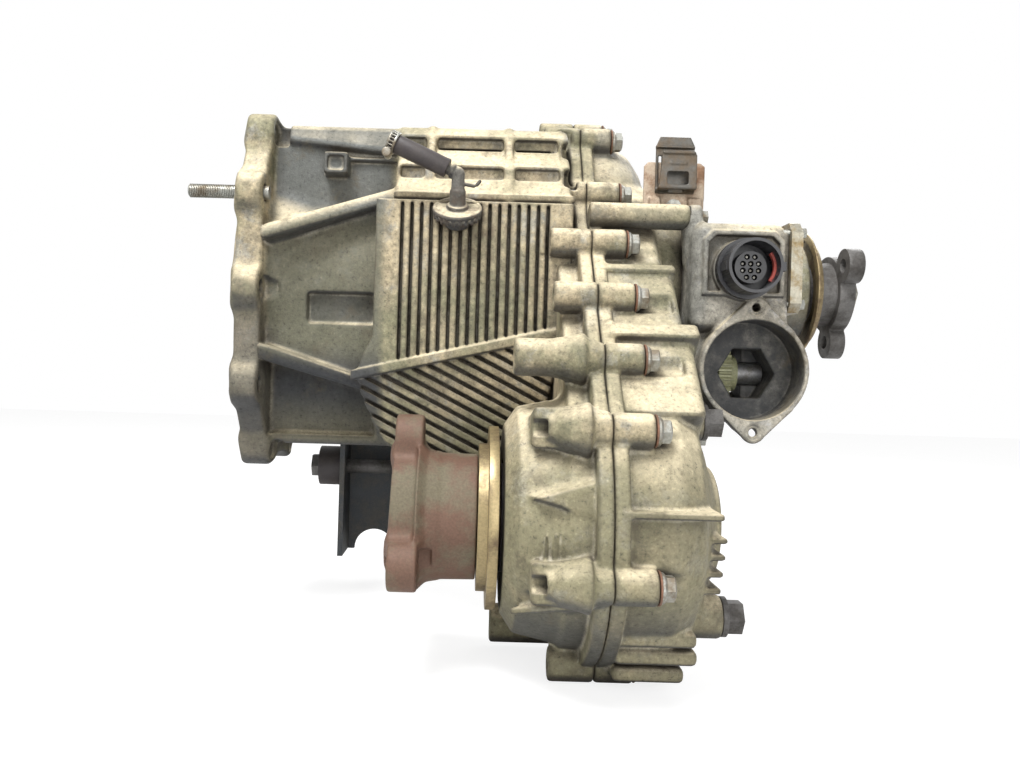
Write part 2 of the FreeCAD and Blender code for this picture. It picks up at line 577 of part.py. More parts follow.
def tooth_outline(teeth, module, inward, outward, slack):
    """Points of a toothed outline about the X axis: flanks of two flats on an involute."""
    pitch = module * teeth / 2
    base = pitch * math.cos(PRESSURE)
    half = math.pi / 2 / teeth - slack / 2 / pitch
    radii = [pitch - inward, pitch, pitch + outward]

    def half_angle(radius):
        held = max(radius, base)
        return half + involute(PRESSURE) - involute(math.acos(base / held))

    points = []
    for index in range(teeth):
        middle = 2 * math.pi * index / teeth
        flank = [(r, middle - half_angle(r)) for r in radii] + \
                [(r, middle + half_angle(r)) for r in reversed(radii)]
        points += [(r * math.cos(a), r * math.sin(a)) for r, a in flank]
    return points


def slab(points, start, length, y=0, z=0, turn=0):
    """A flat outline in YZ, turned about X, pushed along +X."""
    corners = [Vector(start, py, pz) for py, pz in points]
    shape = Part.Face(Part.makePolygon(corners + corners[:1])).extrude(Vector(length, 0, 0))
    shape.rotate(Vector(), Vector(1, 0, 0), turn)
    shape.translate(Vector(0, y, z))
    return shape


def ring(start, length, outer, inner=0, y=0, z=0):
    axis = Vector(1, 0, 0)
    shape = Part.makeCylinder(outer, length, Vector(start, y, z), axis)
    if inner:
        shape = shape.cut(Part.makeCylinder(inner, length + 2, Vector(start - 1, y, z), axis))
    return shape


def spline_outline(teeth, root, tip, share):
    """Straight-sided spline or dog teeth: share is the tooth's part of the pitch."""
    points = []
    for index in range(teeth):
        middle = 2 * math.pi * index / teeth
        half = math.pi / teeth * share
        for radius, angle in ((root, middle - half * 1.15), (tip, middle - half * 0.85),
                              (tip, middle + half * 0.85), (root, middle + half * 1.15)):
            points.append((radius * math.cos(angle), radius * math.sin(angle)))
    return points


MODULE = size("gear_module")
ADDENDUM = 0.9 * MODULE
DEDENDUM = 1.15 * MODULE
GEAR_START = size(RING_X)
ORBIT = MODULE * (size("sun_teeth") + size("planet_teeth")) / 2


def input_shaft():
    """Hollow shaft with the sun gear and, at its rear end, the high-range dog teeth."""
    end = DOG_END
    shaft = spun("input_turned", [
        ("input_lead", "spline_round"), ("input_lead", "input_round - 2"),
        ("input_lead + 2", "input_round"), (INPUT_BEARING_END, "input_round"),
        (INPUT_BEARING_END, "input_round + 4"), (RING_X + " - 1", "input_round + 4"),
        (RING_X + " - 1", "input_round + 1"), (end, "input_round + 1"),
        (end, "core_shaft + 2"), (end + " - 14", "core_shaft + 2"),
        (end + " - 22", "spline_round")])
    sun = shaped("sun_teeth_solid", slab(
        tooth_outline(int(size("sun_teeth")), MODULE, DEDENDUM, ADDENDUM, size("backlash")),
        GEAR_START, size("gear_width")).cut(ring(0, 300, size("input_round"))))
    dogs = shaped("input_dog_solid", slab(
        spline_outline(int(size("clutch_teeth")), size("clutch_round") - size("clutch_tooth") / 2,
                       size("clutch_round") + size("clutch_tooth") / 2 - 0.3, 0.42),
        size(DOG_END) - size("dog_width"), size("dog_width")).cut(ring(0, 300, size("input_round"))))
    return node(fuse("input_whole", [shaft, sun, dogs]), "input_shaft")


CARRIER_REAR = "(%s + gear_width + 1)" % RING_X
DOG_END = "(%s + carrier_plate + dog_width + 5)" % CARRIER_REAR
HUB_START = "(%s + 2)" % DOG_END
SLEEVE_START = "(%s - dog_width - 1)" % DOG_END


def ring_gear():
    outline = tooth_outline(int(size("ring_teeth")), MODULE, ADDENDUM, DEDENDUM, -size("backlash"))
    turn = 180 / size("ring_teeth")
    space = slab(outline, GEAR_START - 1, size("gear_width") + 2, turn=turn)
    return node(shaped("ring_gear_solid",
                       ring(GEAR_START, size("gear_width"), size("ring_round")).cut(space)), "ring_gear")


def planets():
    teeth = int(size("planet_teeth"))
    outline = tooth_outline(teeth, MODULE, DEDENDUM, ADDENDUM, size("backlash"))
    count = int(size("planet_count"))
    for index in range(count):
        angle = 2 * math.pi * index / count
        y, z = ORBIT * math.cos(angle), ORBIT * math.sin(angle)
        wheel = slab(outline, GEAR_START + 0.5, size("gear_width") - 1, y, z, 0)
        wheel.rotate(Vector(0, y, z), Vector(1, 0, 0), 180 / teeth + math.degrees(angle))
        wheel = wheel.cut(ring(0, 300, size("pin_round") + 0.15, y=y, z=z))
        node(shaped("planet_%d" % index, wheel), "planet_gear_%d" % (index + 1))


def planet_carrier():
    """Two plates joined by bridges between the planets, with the low-range drum behind."""
    front_x = size(RING_X) - 1 - size("carrier_plate")
    rear_x = size(CARRIER_REAR)
    plate = size("carrier_plate")
    outer = size("carrier_round") - 1
    hub = size("sun_teeth") * MODULE / 2 + ADDENDUM + 1
    body = ring(front_x, plate, outer, size("input_round") + 5)
    body = body.fuse(ring(rear_x, plate, outer + 0.5, size("clutch_round") + 1.5))
    count = int(size("planet_count"))
    for index in range(count):
        bridge = Part.makeBox(rear_x - front_x + plate, 12, outer - hub - 1.5, Vector(front_x, -6, hub))
        bridge.rotate(Vector(), Vector(1, 0, 0), 45 + 360 * index / count)
        body = body.fuse(bridge)
        angle = 2 * math.pi * index / count
        body = body.cut(ring(0, 300, size("pin_round"), y=ORBIT * math.cos(angle),
                             z=ORBIT * math.sin(angle)))
    drum_end = size(SLEEVE_START) + size("travel") + size("dog_width") + 2
    inner = size("drum_bore")
    body = body.fuse(ring(rear_x + plate, drum_end - rear_x - plate, inner + size("drum_wall"), inner))
    return node(shaped("carrier_solid", body.removeSplitter()), "planet_carrier")


def planet_pins():
    count = int(size("planet_count"))
    start = size(RING_X) - 1 - size("carrier_plate")
    length = size(CARRIER_REAR) + size("carrier_plate") - start
    places = [(0, ORBIT * math.cos(2 * math.pi * i / count), ORBIT * math.sin(2 * math.pi * i / count))
              for i in range(count)]
    return node(group("planet_pin_group", ring(start, length, size("pin_round")), places), "planet_pins")


# ---------------------------------------------------------------- bearings and seals

def ball_bearing(start, width, inner, outer, y, z):
    """Outer race, and inner race with its balls, as two shapes."""
    middle = (inner + outer) / 2
    ball = (outer - inner) * 0.28
    gap = (outer - inner) / 2 - ball * 1.1
    centre = start + width / 2
    axis = Vector(1, 0, 0)
    track = Part.makeTorus(middle, ball + 0.3, Vector(centre, y, z), axis)
    outer_race = ring(start, width, outer, outer - gap, y, z).cut(track)
    inner_race = ring(start, width, inner + gap, inner, y, z).cut(track)
    balls = [inner_race]
    count = 9
    for index in range(count):
        angle = 2 * math.pi * index / count
        balls.append(Part.makeSphere(ball, Vector(centre, y + (middle - 0.25) * math.cos(angle),
                                                  z + (middle - 0.25) * math.sin(angle))))
    return outer_race, Part.makeCompound(balls)


def bearings():
    fy, fz = size(FRONT_Y), size(FRONT_Z)
    seats = {
        "input_bearing": (size(INPUT_BEARING_END) - size("input_bearing_width"),
                          "input_bearing_width", "input_round", "input_bearing_round", 0, 0),
        "rear_bearing": (size("rear_bearing_x"), "rear_bearing_width", "rear_journal",
                         "rear_bearing_round", 0, 0),
        "front_bearing": (size("front_bearing_x"), "front_bearing_width", "front_journal",
                          "front_bearing_round", fy, fz),
        "tail_bearing": (size("tail_bearing_x"), "tail_bearing_width", "tail_journal",
                         "tail_bearing_round", fy, fz),
    }
    outers = []
    inners = {}
    for name, (start, width, inner, outer, y, z) in seats.items():
        race, rolling = ball_bearing(start, size(width), size(inner) + size("fit_gap"),
                                     size(outer), y, z)
        outers.append(race)
        inners[name] = rolling
    node(shaped("outer_races", Part.makeCompound(outers)), "bearing_outer_races")
    node(shaped("input_race", inners["input_bearing"]), "input_bearing_inner")
    node(shaped("rear_race", inners["rear_bearing"]), "rear_bearing_inner")
    node(shaped("front_races", Part.makeCompound([inners["front_bearing"], inners["tail_bearing"]])),
         "front_bearing_inners")


def seal(name, start, outer, inner, y=0, z=0):
    """A lip seal: case, web and lip, a hair clear of its shaft."""
    width = "seal_width"
    lip = "(%s) + run_gap" % inner
    return node(spun(name + "_ring", [
        (start, outer), ("%s + %s" % (start, width), outer),
        ("%s + %s" % (start, width), "(%s) - 2" % outer),
        ("%s + 3" % start, "(%s) - 2.5" % outer), ("%s + 3" % start, lip + " + 3"),
        ("%s + %s - 1" % (start, width), lip + " + 2"), ("%s + %s - 1" % (start, width), lip),
        (start, lip + " + 0.4")], y=y, z=z), name)


# ---------------------------------------------------------------- range change

CLUTCH_ROOT = size("clutch_round") - size("clutch_tooth") / 2
CLUTCH_TIP = size("clutch_round") + size("clutch_tooth") / 2
SLEEVE_OUTER = CLUTCH_TIP + size("sleeve_wall")


def range_hub():
    start, end = size(HUB_START), size("diff_x") - size("diff_half")
    body = ring(start, end - start, CLUTCH_ROOT, 8)
    teeth = slab(spline_outline(int(size("clutch_teeth")), CLUTCH_ROOT - 0.5, CLUTCH_TIP - 0.3, 0.42),
                 start, end - start - 8)
    return node(shaped("hub_solid", body.fuse(teeth.cut(ring(0, 300, 10))).removeSplitter()),
                "range_hub")


def range_sleeve():
    start = size(SLEEVE_START)
    length, rim = size("sleeve_length"), size("sleeve_flange")
    teeth = int(size("clutch_teeth"))
    flange_round = SLEEVE_OUTER + 2.9
    groove = size("groove_width")
    body = ring(start, length, SLEEVE_OUTER).fuse([
        slab(spline_outline(teeth, SLEEVE_OUTER - 1, flange_round - 0.2, 0.42), start,
             size("dog_width")),
        ring(start + length - rim, rim, flange_round),
        ring(start + length - 2 * rim - groove, rim, flange_round)])
    body = body.cut(ring(start + length - rim - groove, groove, 60,
                         flange_round - size("groove_depth")))
    body = body.cut(ring(start - 1, length + 2, CLUTCH_ROOT + 0.35))
    body = body.cut(slab(spline_outline(teeth, CLUTCH_ROOT - 1, CLUTCH_TIP + 0.15, 0.58),
                         start - 1, length + 2))
    return node(shaped("sleeve_solid", body), "range_sleeve")


def shift_fork():
    """Half ring in the sleeve groove, boss on the rail and follower pin in the cam slot."""
    slack = size("fork_slack")
    start = size(SLEEVE_START) + size("sleeve_length") - size("sleeve_flange") \
        - size("groove_width") + slack
    thick = size("groove_width") - 2 * slack
    inner = SLEEVE_OUTER + 2.9 - size("groove_depth") + slack
    y, z = size("rail_y"), size("rail_z")
    arc = ring(start, thick, size("fork_round"), inner)
    lower = Part.makeBox(thick + 2, 200, 100, Vector(start - 1, -100, -100 + 8))
    lower.rotate(Vector(), Vector(1, 0, 0), -13)
    arc = arc.common(lower)
    reach = math.hypot(y, z)
    arm = Part.makeBox(thick, 16, reach - inner - 4, Vector(start, -8, inner + 2))
    arm.rotate(Vector(), Vector(1, 0, 0), math.degrees(math.atan2(-y, z)))
    boss_start = start - 6
    boss = ring(boss_start, thick + 14, size("rail_round") + 5, 0, y, z)
    cam = Vector(0, size("cam_y"), size("cam_z"))
    towards = Vector(0, y, z) - cam
    distance = towards.Length
    towards.normalize()
    tip = size("cam_round") - size("slot_depth") + 0.6
    centre = start + thick / 2
    pin = Part.makeCylinder(size("follower_round"), distance - tip,
                            cam + towards * tip + Vector(centre, 0, 0), towards)
    body = arc.fuse([arm, boss, pin])
    body = body.cut(ring(0, 400, size("rail_round") + size("fit_gap"), y=y, z=z))
    body = body.cut(ring(start - 1, thick + 2, inner))
    return node(shaped("fork_solid", body), "shift_fork")


def shift_rail():
    rail = cylinder("rail_bar", "rail_round", "seam_x - 13 - 120", "119", "rail_y", "rail_z")
    return node(rail, "shift_rail")


def selector_shaft():
    """Shaft with a barrel cam whose helical slot carries the fork along the rail."""
    y, z = size("cam_y"), size("cam_z")
    start = 121
    end = size("actuator_end") - size("cover_thick") - 4
    body = ring(start, end - start, size("selector_round"), 0, y, z)
    slack = size("fork_slack")
    pin_x = size(SLEEVE_START) + size("sleeve_length") - size("sleeve_flange") \
        - size("groove_width") / 2
    travel = size("travel")
    margin = size("slot_round") + 5
    body = body.fuse(ring(pin_x - margin, travel + 2 * margin, size("cam_round"), 0, y, z))
    steps = int(size("cam_steps"))
    towards = Vector(0, size("rail_y") - y, size("rail_z") - z).normalize()
    floor = size("cam_round") - size("slot_depth")
    cutter = Part.makeCylinder(size("slot_round"), 12, towards * floor, towards)
    slots = []
    for step in range(steps + 1):
        share = step / steps
        tool = cutter.copy()
        tool.rotate(Vector(), Vector(1, 0, 0), -size("cam_turn") * share)
        tool.translate(Vector(pin_x + travel * share, y, z))
        slots.append(tool)
    body = body.cut(slots)
    return node(shaped("selector_solid", body), "selector_shaft")


def worm_wheel():
    y, z = size("cam_y"), size("cam_z")
    outline = tooth_outline(int(size("wheel_teeth")), 2 * size("wheel_round") / (size("wheel_teeth") + 2),
                            1.5, 1.3, 0.3)
    wheel = slab(outline, size("wheel_x"), size("wheel_width"), y, z)
    wheel = wheel.fuse(ring(size("wheel_x"), size("wheel_width") + 6, 13, 0, y, z))
    wheel = wheel.cut(ring(0, 500, size("selector_round") + size("fit_gap"), y=y, z=z))
    return node(shaped("wheel_solid", wheel), "worm_wheel")


# ---------------------------------------------------------------- centre differential

def bevel_gear(teeth, mate, back, bore):
    """A straight bevel gear along +X, cone apex at the origin, teeth towards the apex."""
    module = size("bevel_module")
    cone_angle = math.atan2(teeth, mate)
    far = size("cone_length")
    near = far - size("bevel_face")
    wires = []
    for length in (near, far):
        scale = length / far
        root = module * teeth / 2 - 1.2 * module * 0.8 * math.cos(cone_angle)
        tip = module * teeth / 2 + 0.55 * module * math.cos(cone_angle)
        outline = spline_outline(teeth, root * scale, tip * scale, 0.4)
        x = length * math.cos(cone_angle)
        corners = [Vector(x, py, pz) for py, pz in outline]
        wires.append(Part.makePolygon(corners + corners[:1]))
    solid = Part.makeLoft(wires, True, True)
    hub = ring(far * math.cos(cone_angle) - 0.01, back - far * math.cos(cone_angle),
               module * teeth / 2 * 0.86)
    solid = solid.fuse(hub)
    if bore:
        solid = solid.cut(ring(-5, 80, bore))
    return solid


def differential():
    x = size("diff_x")
    half, room = size("diff_half"), size("diff_room")
    side, spider = int(size("side_teeth")), int(size("spider_teeth"))
    core = size("core_shaft") + size("fit_gap")
    back = half - 6.5
    gear = bevel_gear(side, spider, back, core)
    rear = gear.copy()
    quill = ring(back - 8, size(QUILL_END) - x - back + 8, size("quill_round"), size("quill_bore"))
    rear = rear.cut(ring(-5, 80, size("quill_bore"))).fuse(quill)
    rear.translate(Vector(x, 0, 0))
    front = gear.copy()
    front.rotate(Vector(), Vector(0, 0, 1), 180)
    front.translate(Vector(x, 0, 0))
    node(shaped("front_bevel", front), "rear_side_gear")
    node(shaped("rear_bevel", rear), "front_side_gear")
    pin = size("spider_pin")
    small = bevel_gear(spider, side, room - 4.5, pin + 0.1)
    upper = small.copy()
    upper.rotate(Vector(), Vector(0, 1, 0), -90)
    lower = small.copy()
    lower.rotate(Vector(), Vector(0, 1, 0), 90)
    pair = Part.makeCompound([upper, lower])
    pair.translate(Vector(x, 0, 0))
    node(shaped("spiders", pair), "spider_gears")
    cross = Part.makeCylinder(pin, 2 * room + 12, Vector(x, 0, -room - 6))
    cross = cross.fuse(ring(x - pin - 1, 2 * pin + 2, size("cross_ring")))
    cross = cross.cut(ring(0, 400, size("core_shaft") + 0.6))
    node(shaped("cross_solid", cross), "diff_cross_pin")
    case = ring(x - half, 2 * half, size("diff_round"))
    case = case.cut(ring(x - half + 6, 2 * half - 12, room))
    case = case.cut(ring(x + half - 8, 10, size("quill_round") + 0.3))
    case = case.cut(ring(x - half - 2, 10, size("core_shaft") + 1))
    case = case.cut(Part.makeCylinder(pin + 0.05, 4 * room, Vector(x, 0, -2 * room)))
    for turn in (0, 180):
        window = Part.makeCylinder(14, 60, Vector(x, 0, 0), Vector(0, 1, 0))
        window.rotate(Vector(x, 0, 0), Vector(1, 0, 0), turn)
        case = case.cut(window)
    node(shaped("case_solid", case), "diff_case")


QUILL_END = "(drum_x + 6)"


# ---------------------------------------------------------------- chain drive

def sprocket_outline():
    teeth = int(size("sprocket_teeth"))
    apothem = size(PITCH_ROUND) * math.cos(math.pi / teeth)
    tip = apothem - 1.2 - size("tooth_clear")
    root = apothem - size("link_toe") - size("tooth_clear")
    points = []
    for index in range(teeth):
        middle = 2 * math.pi * (index + 0.5) / teeth
        for radius, half in ((root, 2.1 / root), (tip, 0.35 / tip)):
            points.append((radius, middle - half))
        for radius, half in ((tip, 0.35 / tip), (root, 2.1 / root)):
            points.append((radius, middle + half))
    return [(r * math.cos(a), r * math.sin(a)) for r, a in points]


def sprocket(name, label, bore, phase=0, y=0, z=0):
    """Toothed rim, thin web with lightening holes and a hub as wide as the chain."""
    lead = size("sprocket_lead")
    start, width = size("seam_x") + lead, size("chain_width") - 2 * lead
    normal = math.degrees(math.atan2(size(SIDE_Z), size(SIDE_Y)))
    body = slab(sprocket_outline(), start, width, y, z)
    body.rotate(Vector(0, y, z), Vector(1, 0, 0), normal + phase)
    rim = size("sprocket_hub") + 11
    hub = size("sprocket_hub")
    for face in (start - 1, start + width - 8):
        body = body.cut(ring(face, 9, rim, hub, y, z))
    holes = [ring(start, width, 3.4, 0, y + (rim + hub) / 2 * math.cos(math.radians(60 * i)),
                  z + (rim + hub) / 2 * math.sin(math.radians(60 * i))) for i in range(6)]
    body = body.cut(holes + [ring(start - 1, width + 2, bore + size("fit_gap"), 0, y, z)])
    return node(shaped(name, body), label)


def chain_links():
    """Inverted-tooth links: each has a flat back and two toes, with pins at the pitch line."""
    pitch = size("chain_pitch")
    teeth = int(size("sprocket_teeth"))
    half = pitch / 2 - size("link_gap") / 2
    back, toe = size("link_back"), size("link_toe")
    outline = [(-half, back), (half, back), (half, -0.4), (half - 1.9, -toe), (half - 3.4, -toe),
               (0, -1.2), (3.4 - half, -toe), (1.9 - half, -toe), (-half, -0.4)]
    start, width = size("seam_x") + 1, size("chain_width") - 2
    link = Part.Face(Part.makePolygon([Vector(start, a, b) for a, b in outline + outline[:1]]))
    link = link.extrude(Vector(width, 0, 0))
    radius, centres = size(PITCH_ROUND), size(CENTRES)
    tilt = math.atan2(size(SIDE_Z), size(SIDE_Y))
    step = 2 * math.pi / teeth
    pins = []
    for centre_y, centre_z, first in ((0, 0, tilt - math.pi), (size(FRONT_Y), size(FRONT_Z), tilt)):
        run = first - math.pi / 2
        for index in range((teeth + 1) // 2):
            angle = first + step * index
            pins.append((centre_y + radius * math.cos(angle), centre_z + radius * math.sin(angle)))
        leave = (centre_y - radius * math.cos(first), centre_z - radius * math.sin(first))
        along = (math.cos(first - math.pi / 2), math.sin(first - math.pi / 2))
        for index in range((int(size("chain_links")) - teeth) // 2):
            reach = pitch * (index + 0.5)
            pins.append((leave[0] + along[0] * reach, leave[1] + along[1] * reach))
    links = []
    for (y1, z1), (y2, z2) in zip(pins, pins[1:] + pins[:1]):
        copy = link.copy()
        angle = math.degrees(math.atan2(z1 - z2, y1 - y2))
        copy.Placement = FreeCAD.Placement(Vector(0, (y1 + y2) / 2, (z1 + z2) / 2),
                                           FreeCAD.Rotation(Vector(1, 0, 0), angle))
        links.append(copy)
    return node(shaped("link_group", Part.makeCompound(links)), "drive_chain")


def chain_drive():
    sprocket("upper_wheel", "upper_sprocket", size("quill_round"), 180)
    sprocket("lower_wheel", "lower_sprocket", size("front_journal") + 4, 0, size(FRONT_Y),
             size(FRONT_Z))
    chain_links()


# ---------------------------------------------------------------- lock clutch

def lock_clutch():
    wall = "(plate_outer + 0.4)"
    drum = spun("drum_turned", [
        ("drum_x", "quill_round + fit_gap"), ("drum_x", "clutch_drum_round"),
        ("drum_x + clutch_length", "clutch_drum_round"), ("drum_x + clutch_length", wall),
        ("drum_x + 4", wall), ("drum_x + 4", "quill_round + fit_gap")])
    node(drum, "clutch_drum")
    count = int(size("plate_count"))
    step, thick = size("plate_step"), size("plate_thick")
    first = size("drum_x") + 7
    plates = [(first + step * i, 0, 0) for i in range(count)]
    discs = [(first + step * (i + 0.5), 0, 0) for i in range(count)]
    node(group("plate_group", ring(0, thick, size("plate_outer"), size("plate_inner")), plates),
         "clutch_plates")
    node(group("disc_group", ring(0, thick, size("disc_outer"), size("disc_inner")), discs),
         "clutch_discs")
    hub = spun("hub_turned", [
        ("drum_x + 7", "core_shaft + 2 + fit_gap"), ("drum_x + 7", "disc_inner - fit_gap"),
        ("drum_x + clutch_length - 2", "disc_inner - fit_gap"),
        ("drum_x + clutch_length - 2", "disc_inner - 5"), ("drum_x + 24", "disc_inner - 5"),
        ("drum_x + 24", "core_shaft + 6"), ("drum_x + clutch_length - 2", "core_shaft + 6"),
        ("drum_x + clutch_length - 2", "core_shaft + 2 + fit_gap")])
    node(hub, "clutch_hub")


# ---------------------------------------------------------------- output shafts and flanges

def rear_output():
    seat = "(rear_bearing_x + rear_bearing_width)"
    node(spun("rear_shaft", [
        ("diff_x - diff_half + 7", "0"), ("diff_x - diff_half + 7", "core_shaft"),
        ("diff_x + 24", "core_shaft"), ("diff_x + 24", "core_shaft + 2"),
        ("rear_bearing_x", "core_shaft + 2"), ("rear_bearing_x", "rear_journal"),
        (seat, "rear_journal"), (seat, "rear_journal - 2"),
        ("rear_flange_x + 4", "rear_journal - 2"), ("rear_flange_x + 4", "9"),
        ("rear_end - 1", "9"), ("rear_end - 1", "0")]), "rear_output_shaft")
    hub = spun("rear_hub", [
        ("neck_end - 12", "rear_journal - 2 + fit_gap"), ("neck_end - 12", "rear_journal + 3"),
        ("neck_end + 2", "rear_journal + 3"), ("neck_end + 2", "rear_hub_round"),
        ("rear_flange_x", "rear_hub_round + 2"), ("rear_flange_x", "rear_arm_round - 16"),
        ("rear_flange_x + rear_plate", "rear_arm_round - 16"),
        ("rear_flange_x + rear_plate", "rear_journal - 2 + fit_gap")])
    arms = lobes("rear", "rear_bolt_circle", "13", "rear_flange_x", "rear_plate", 30)
    bore = cylinder("rear_bore", "rear_journal - 2 + fit_gap", "60", "neck_end - 13")
    node(cut("rear_flange_solid", fuse("rear_flange_whole", [hub] + arms[0]), arms[1] + [bore]),
         "rear_output_flange")
    node(spun("rear_shield", [
        ("rear_shield_x", "rear_hub_round + 1.6"), ("rear_shield_x", "rear_shield_round - 8"),
        ("rear_shield_x - 5", "rear_shield_round - 6"), ("rear_shield_x - 5", "rear_shield_round"),
        ("rear_shield_x - 5 + shield_thick", "rear_shield_round"),
        ("rear_shield_x - 5 + shield_thick", "rear_shield_round - 5"),
        ("rear_shield_x + shield_thick", "rear_shield_round - 7"),
        ("rear_shield_x + shield_thick", "rear_hub_round + 1.6")]), "rear_dust_shield")
    node(shaped("rear_nut", nut(size("rear_flange_x") + size("rear_plate"), 7, 15, 9)),
         "rear_flange_nut")


def nut(start, thick, across, bore, y=0, z=0):
    corners = [(across * 1.155 * math.cos(math.radians(60 * i)),
                across * 1.155 * math.sin(math.radians(60 * i))) for i in range(6)]
    return slab(corners, start, thick, y, z).cut(ring(start - 1, thick + 2,
                                                      bore + size("fit_gap"), 0, y, z))


def lobes(name, circle, radius, start, length, turn, y=0, z=0):
    """Three bolt lobes joined by a triangle, and their holes."""
    places = [shifted(pair, y, z) for pair in around(3, circle + " / 2", turn)]
    solids = [cylinder("%s_lobe_%d" % (name, i), radius, length, start, *spot)
              for i, spot in enumerate(places)]
    solids.append(prism(name + "_triangle", [shifted(pair, y, z) for pair in
                                             around(3, circle + " / 2 * 1.22", turn)], start, length))
    holes = [cylinder("%s_hole_%d" % (name, i), "output_hole", "%s + 2" % length,
                      "%s - 1" % start, *spot) for i, spot in enumerate(places)]
    return solids, holes


def front_output():
    start = "front_flange_x"
    plate_end = "(front_flange_x + front_plate)"
    seat = "front_bearing_x"
    node(spun("front_shaft", [
        (start + " + 2", "0"), (start + " + 2", "11"), (start + " + 14", "11"),
        (start + " + 14", "front_spline"), (seat, "front_spline"), (seat, "front_journal"),
        (seat + " + front_bearing_width", "front_journal"),
        (seat + " + front_bearing_width", "front_journal + 4"),
        ("seam_x + chain_width + 2", "front_journal + 4"),
        ("seam_x + chain_width + 2", "tail_journal + 3"), ("tail_bearing_x", "tail_journal + 3"),
        ("tail_bearing_x", "tail_journal"), ("tail_bearing_x + tail_bearing_width", "tail_journal"),
        ("tail_bearing_x + tail_bearing_width", "0")], y=FRONT_Y, z=FRONT_Z), "front_output_shaft")
    hub = spun("front_hub", [
        (start, "22"), (start, "front_hub_round"), ("front_shield_x", "front_hub_round"),
        ("front_shield_x", "front_spline + 6"), (seat, "front_spline + 6"),
        (seat, "front_spline + fit_gap"), (start + " + 14", "front_spline + fit_gap"),
        (start + " + 14", "22")], y=FRONT_Y, z=FRONT_Z)
    arms = lobes("front", "front_bolt_circle", "15", start, "front_plate", 90, FRONT_Y, FRONT_Z)
    node(cut("front_flange_solid", cut("front_flange_bored", fuse("front_flange_whole", [hub] + arms[0]),
                                       [cylinder("front_recess", "22", "14.05", start + " - 0.001",
                                                 FRONT_Y, FRONT_Z),
                                        cylinder("front_bore", "front_spline + fit_gap", "90", start,
                                                 FRONT_Y, FRONT_Z)]), arms[1]),
         "front_output_flange")
    node(spun("front_shield", [
        ("front_shield_x", "front_spline + 6.3"), ("front_shield_x", "front_shield_round - 11"),
        ("front_shield_x + 6", "front_shield_round - 11"), ("front_shield_x + 6", "front_shield_round"),
        ("front_shield_x + 12", "front_shield_round"),
        ("front_shield_x + 12", "front_shield_round - shield_thick"),
        ("front_shield_x + 6 + shield_thick", "front_shield_round - shield_thick"),
        ("front_shield_x + 6 + shield_thick", "front_shield_round - 11 - shield_thick"),
        ("front_shield_x + shield_thick", "front_shield_round - 11 - shield_thick"),
        ("front_shield_x + shield_thick", "front_spline + 6.3")], y=FRONT_Y, z=FRONT_Z),
         "front_dust_shield")
    node(shaped("front_nut", nut(size(start) + 3, 11, 17, 11, size(FRONT_Y), size(FRONT_Z))),
         "front_flange_nut")


# ---------------------------------------------------------------- actuator

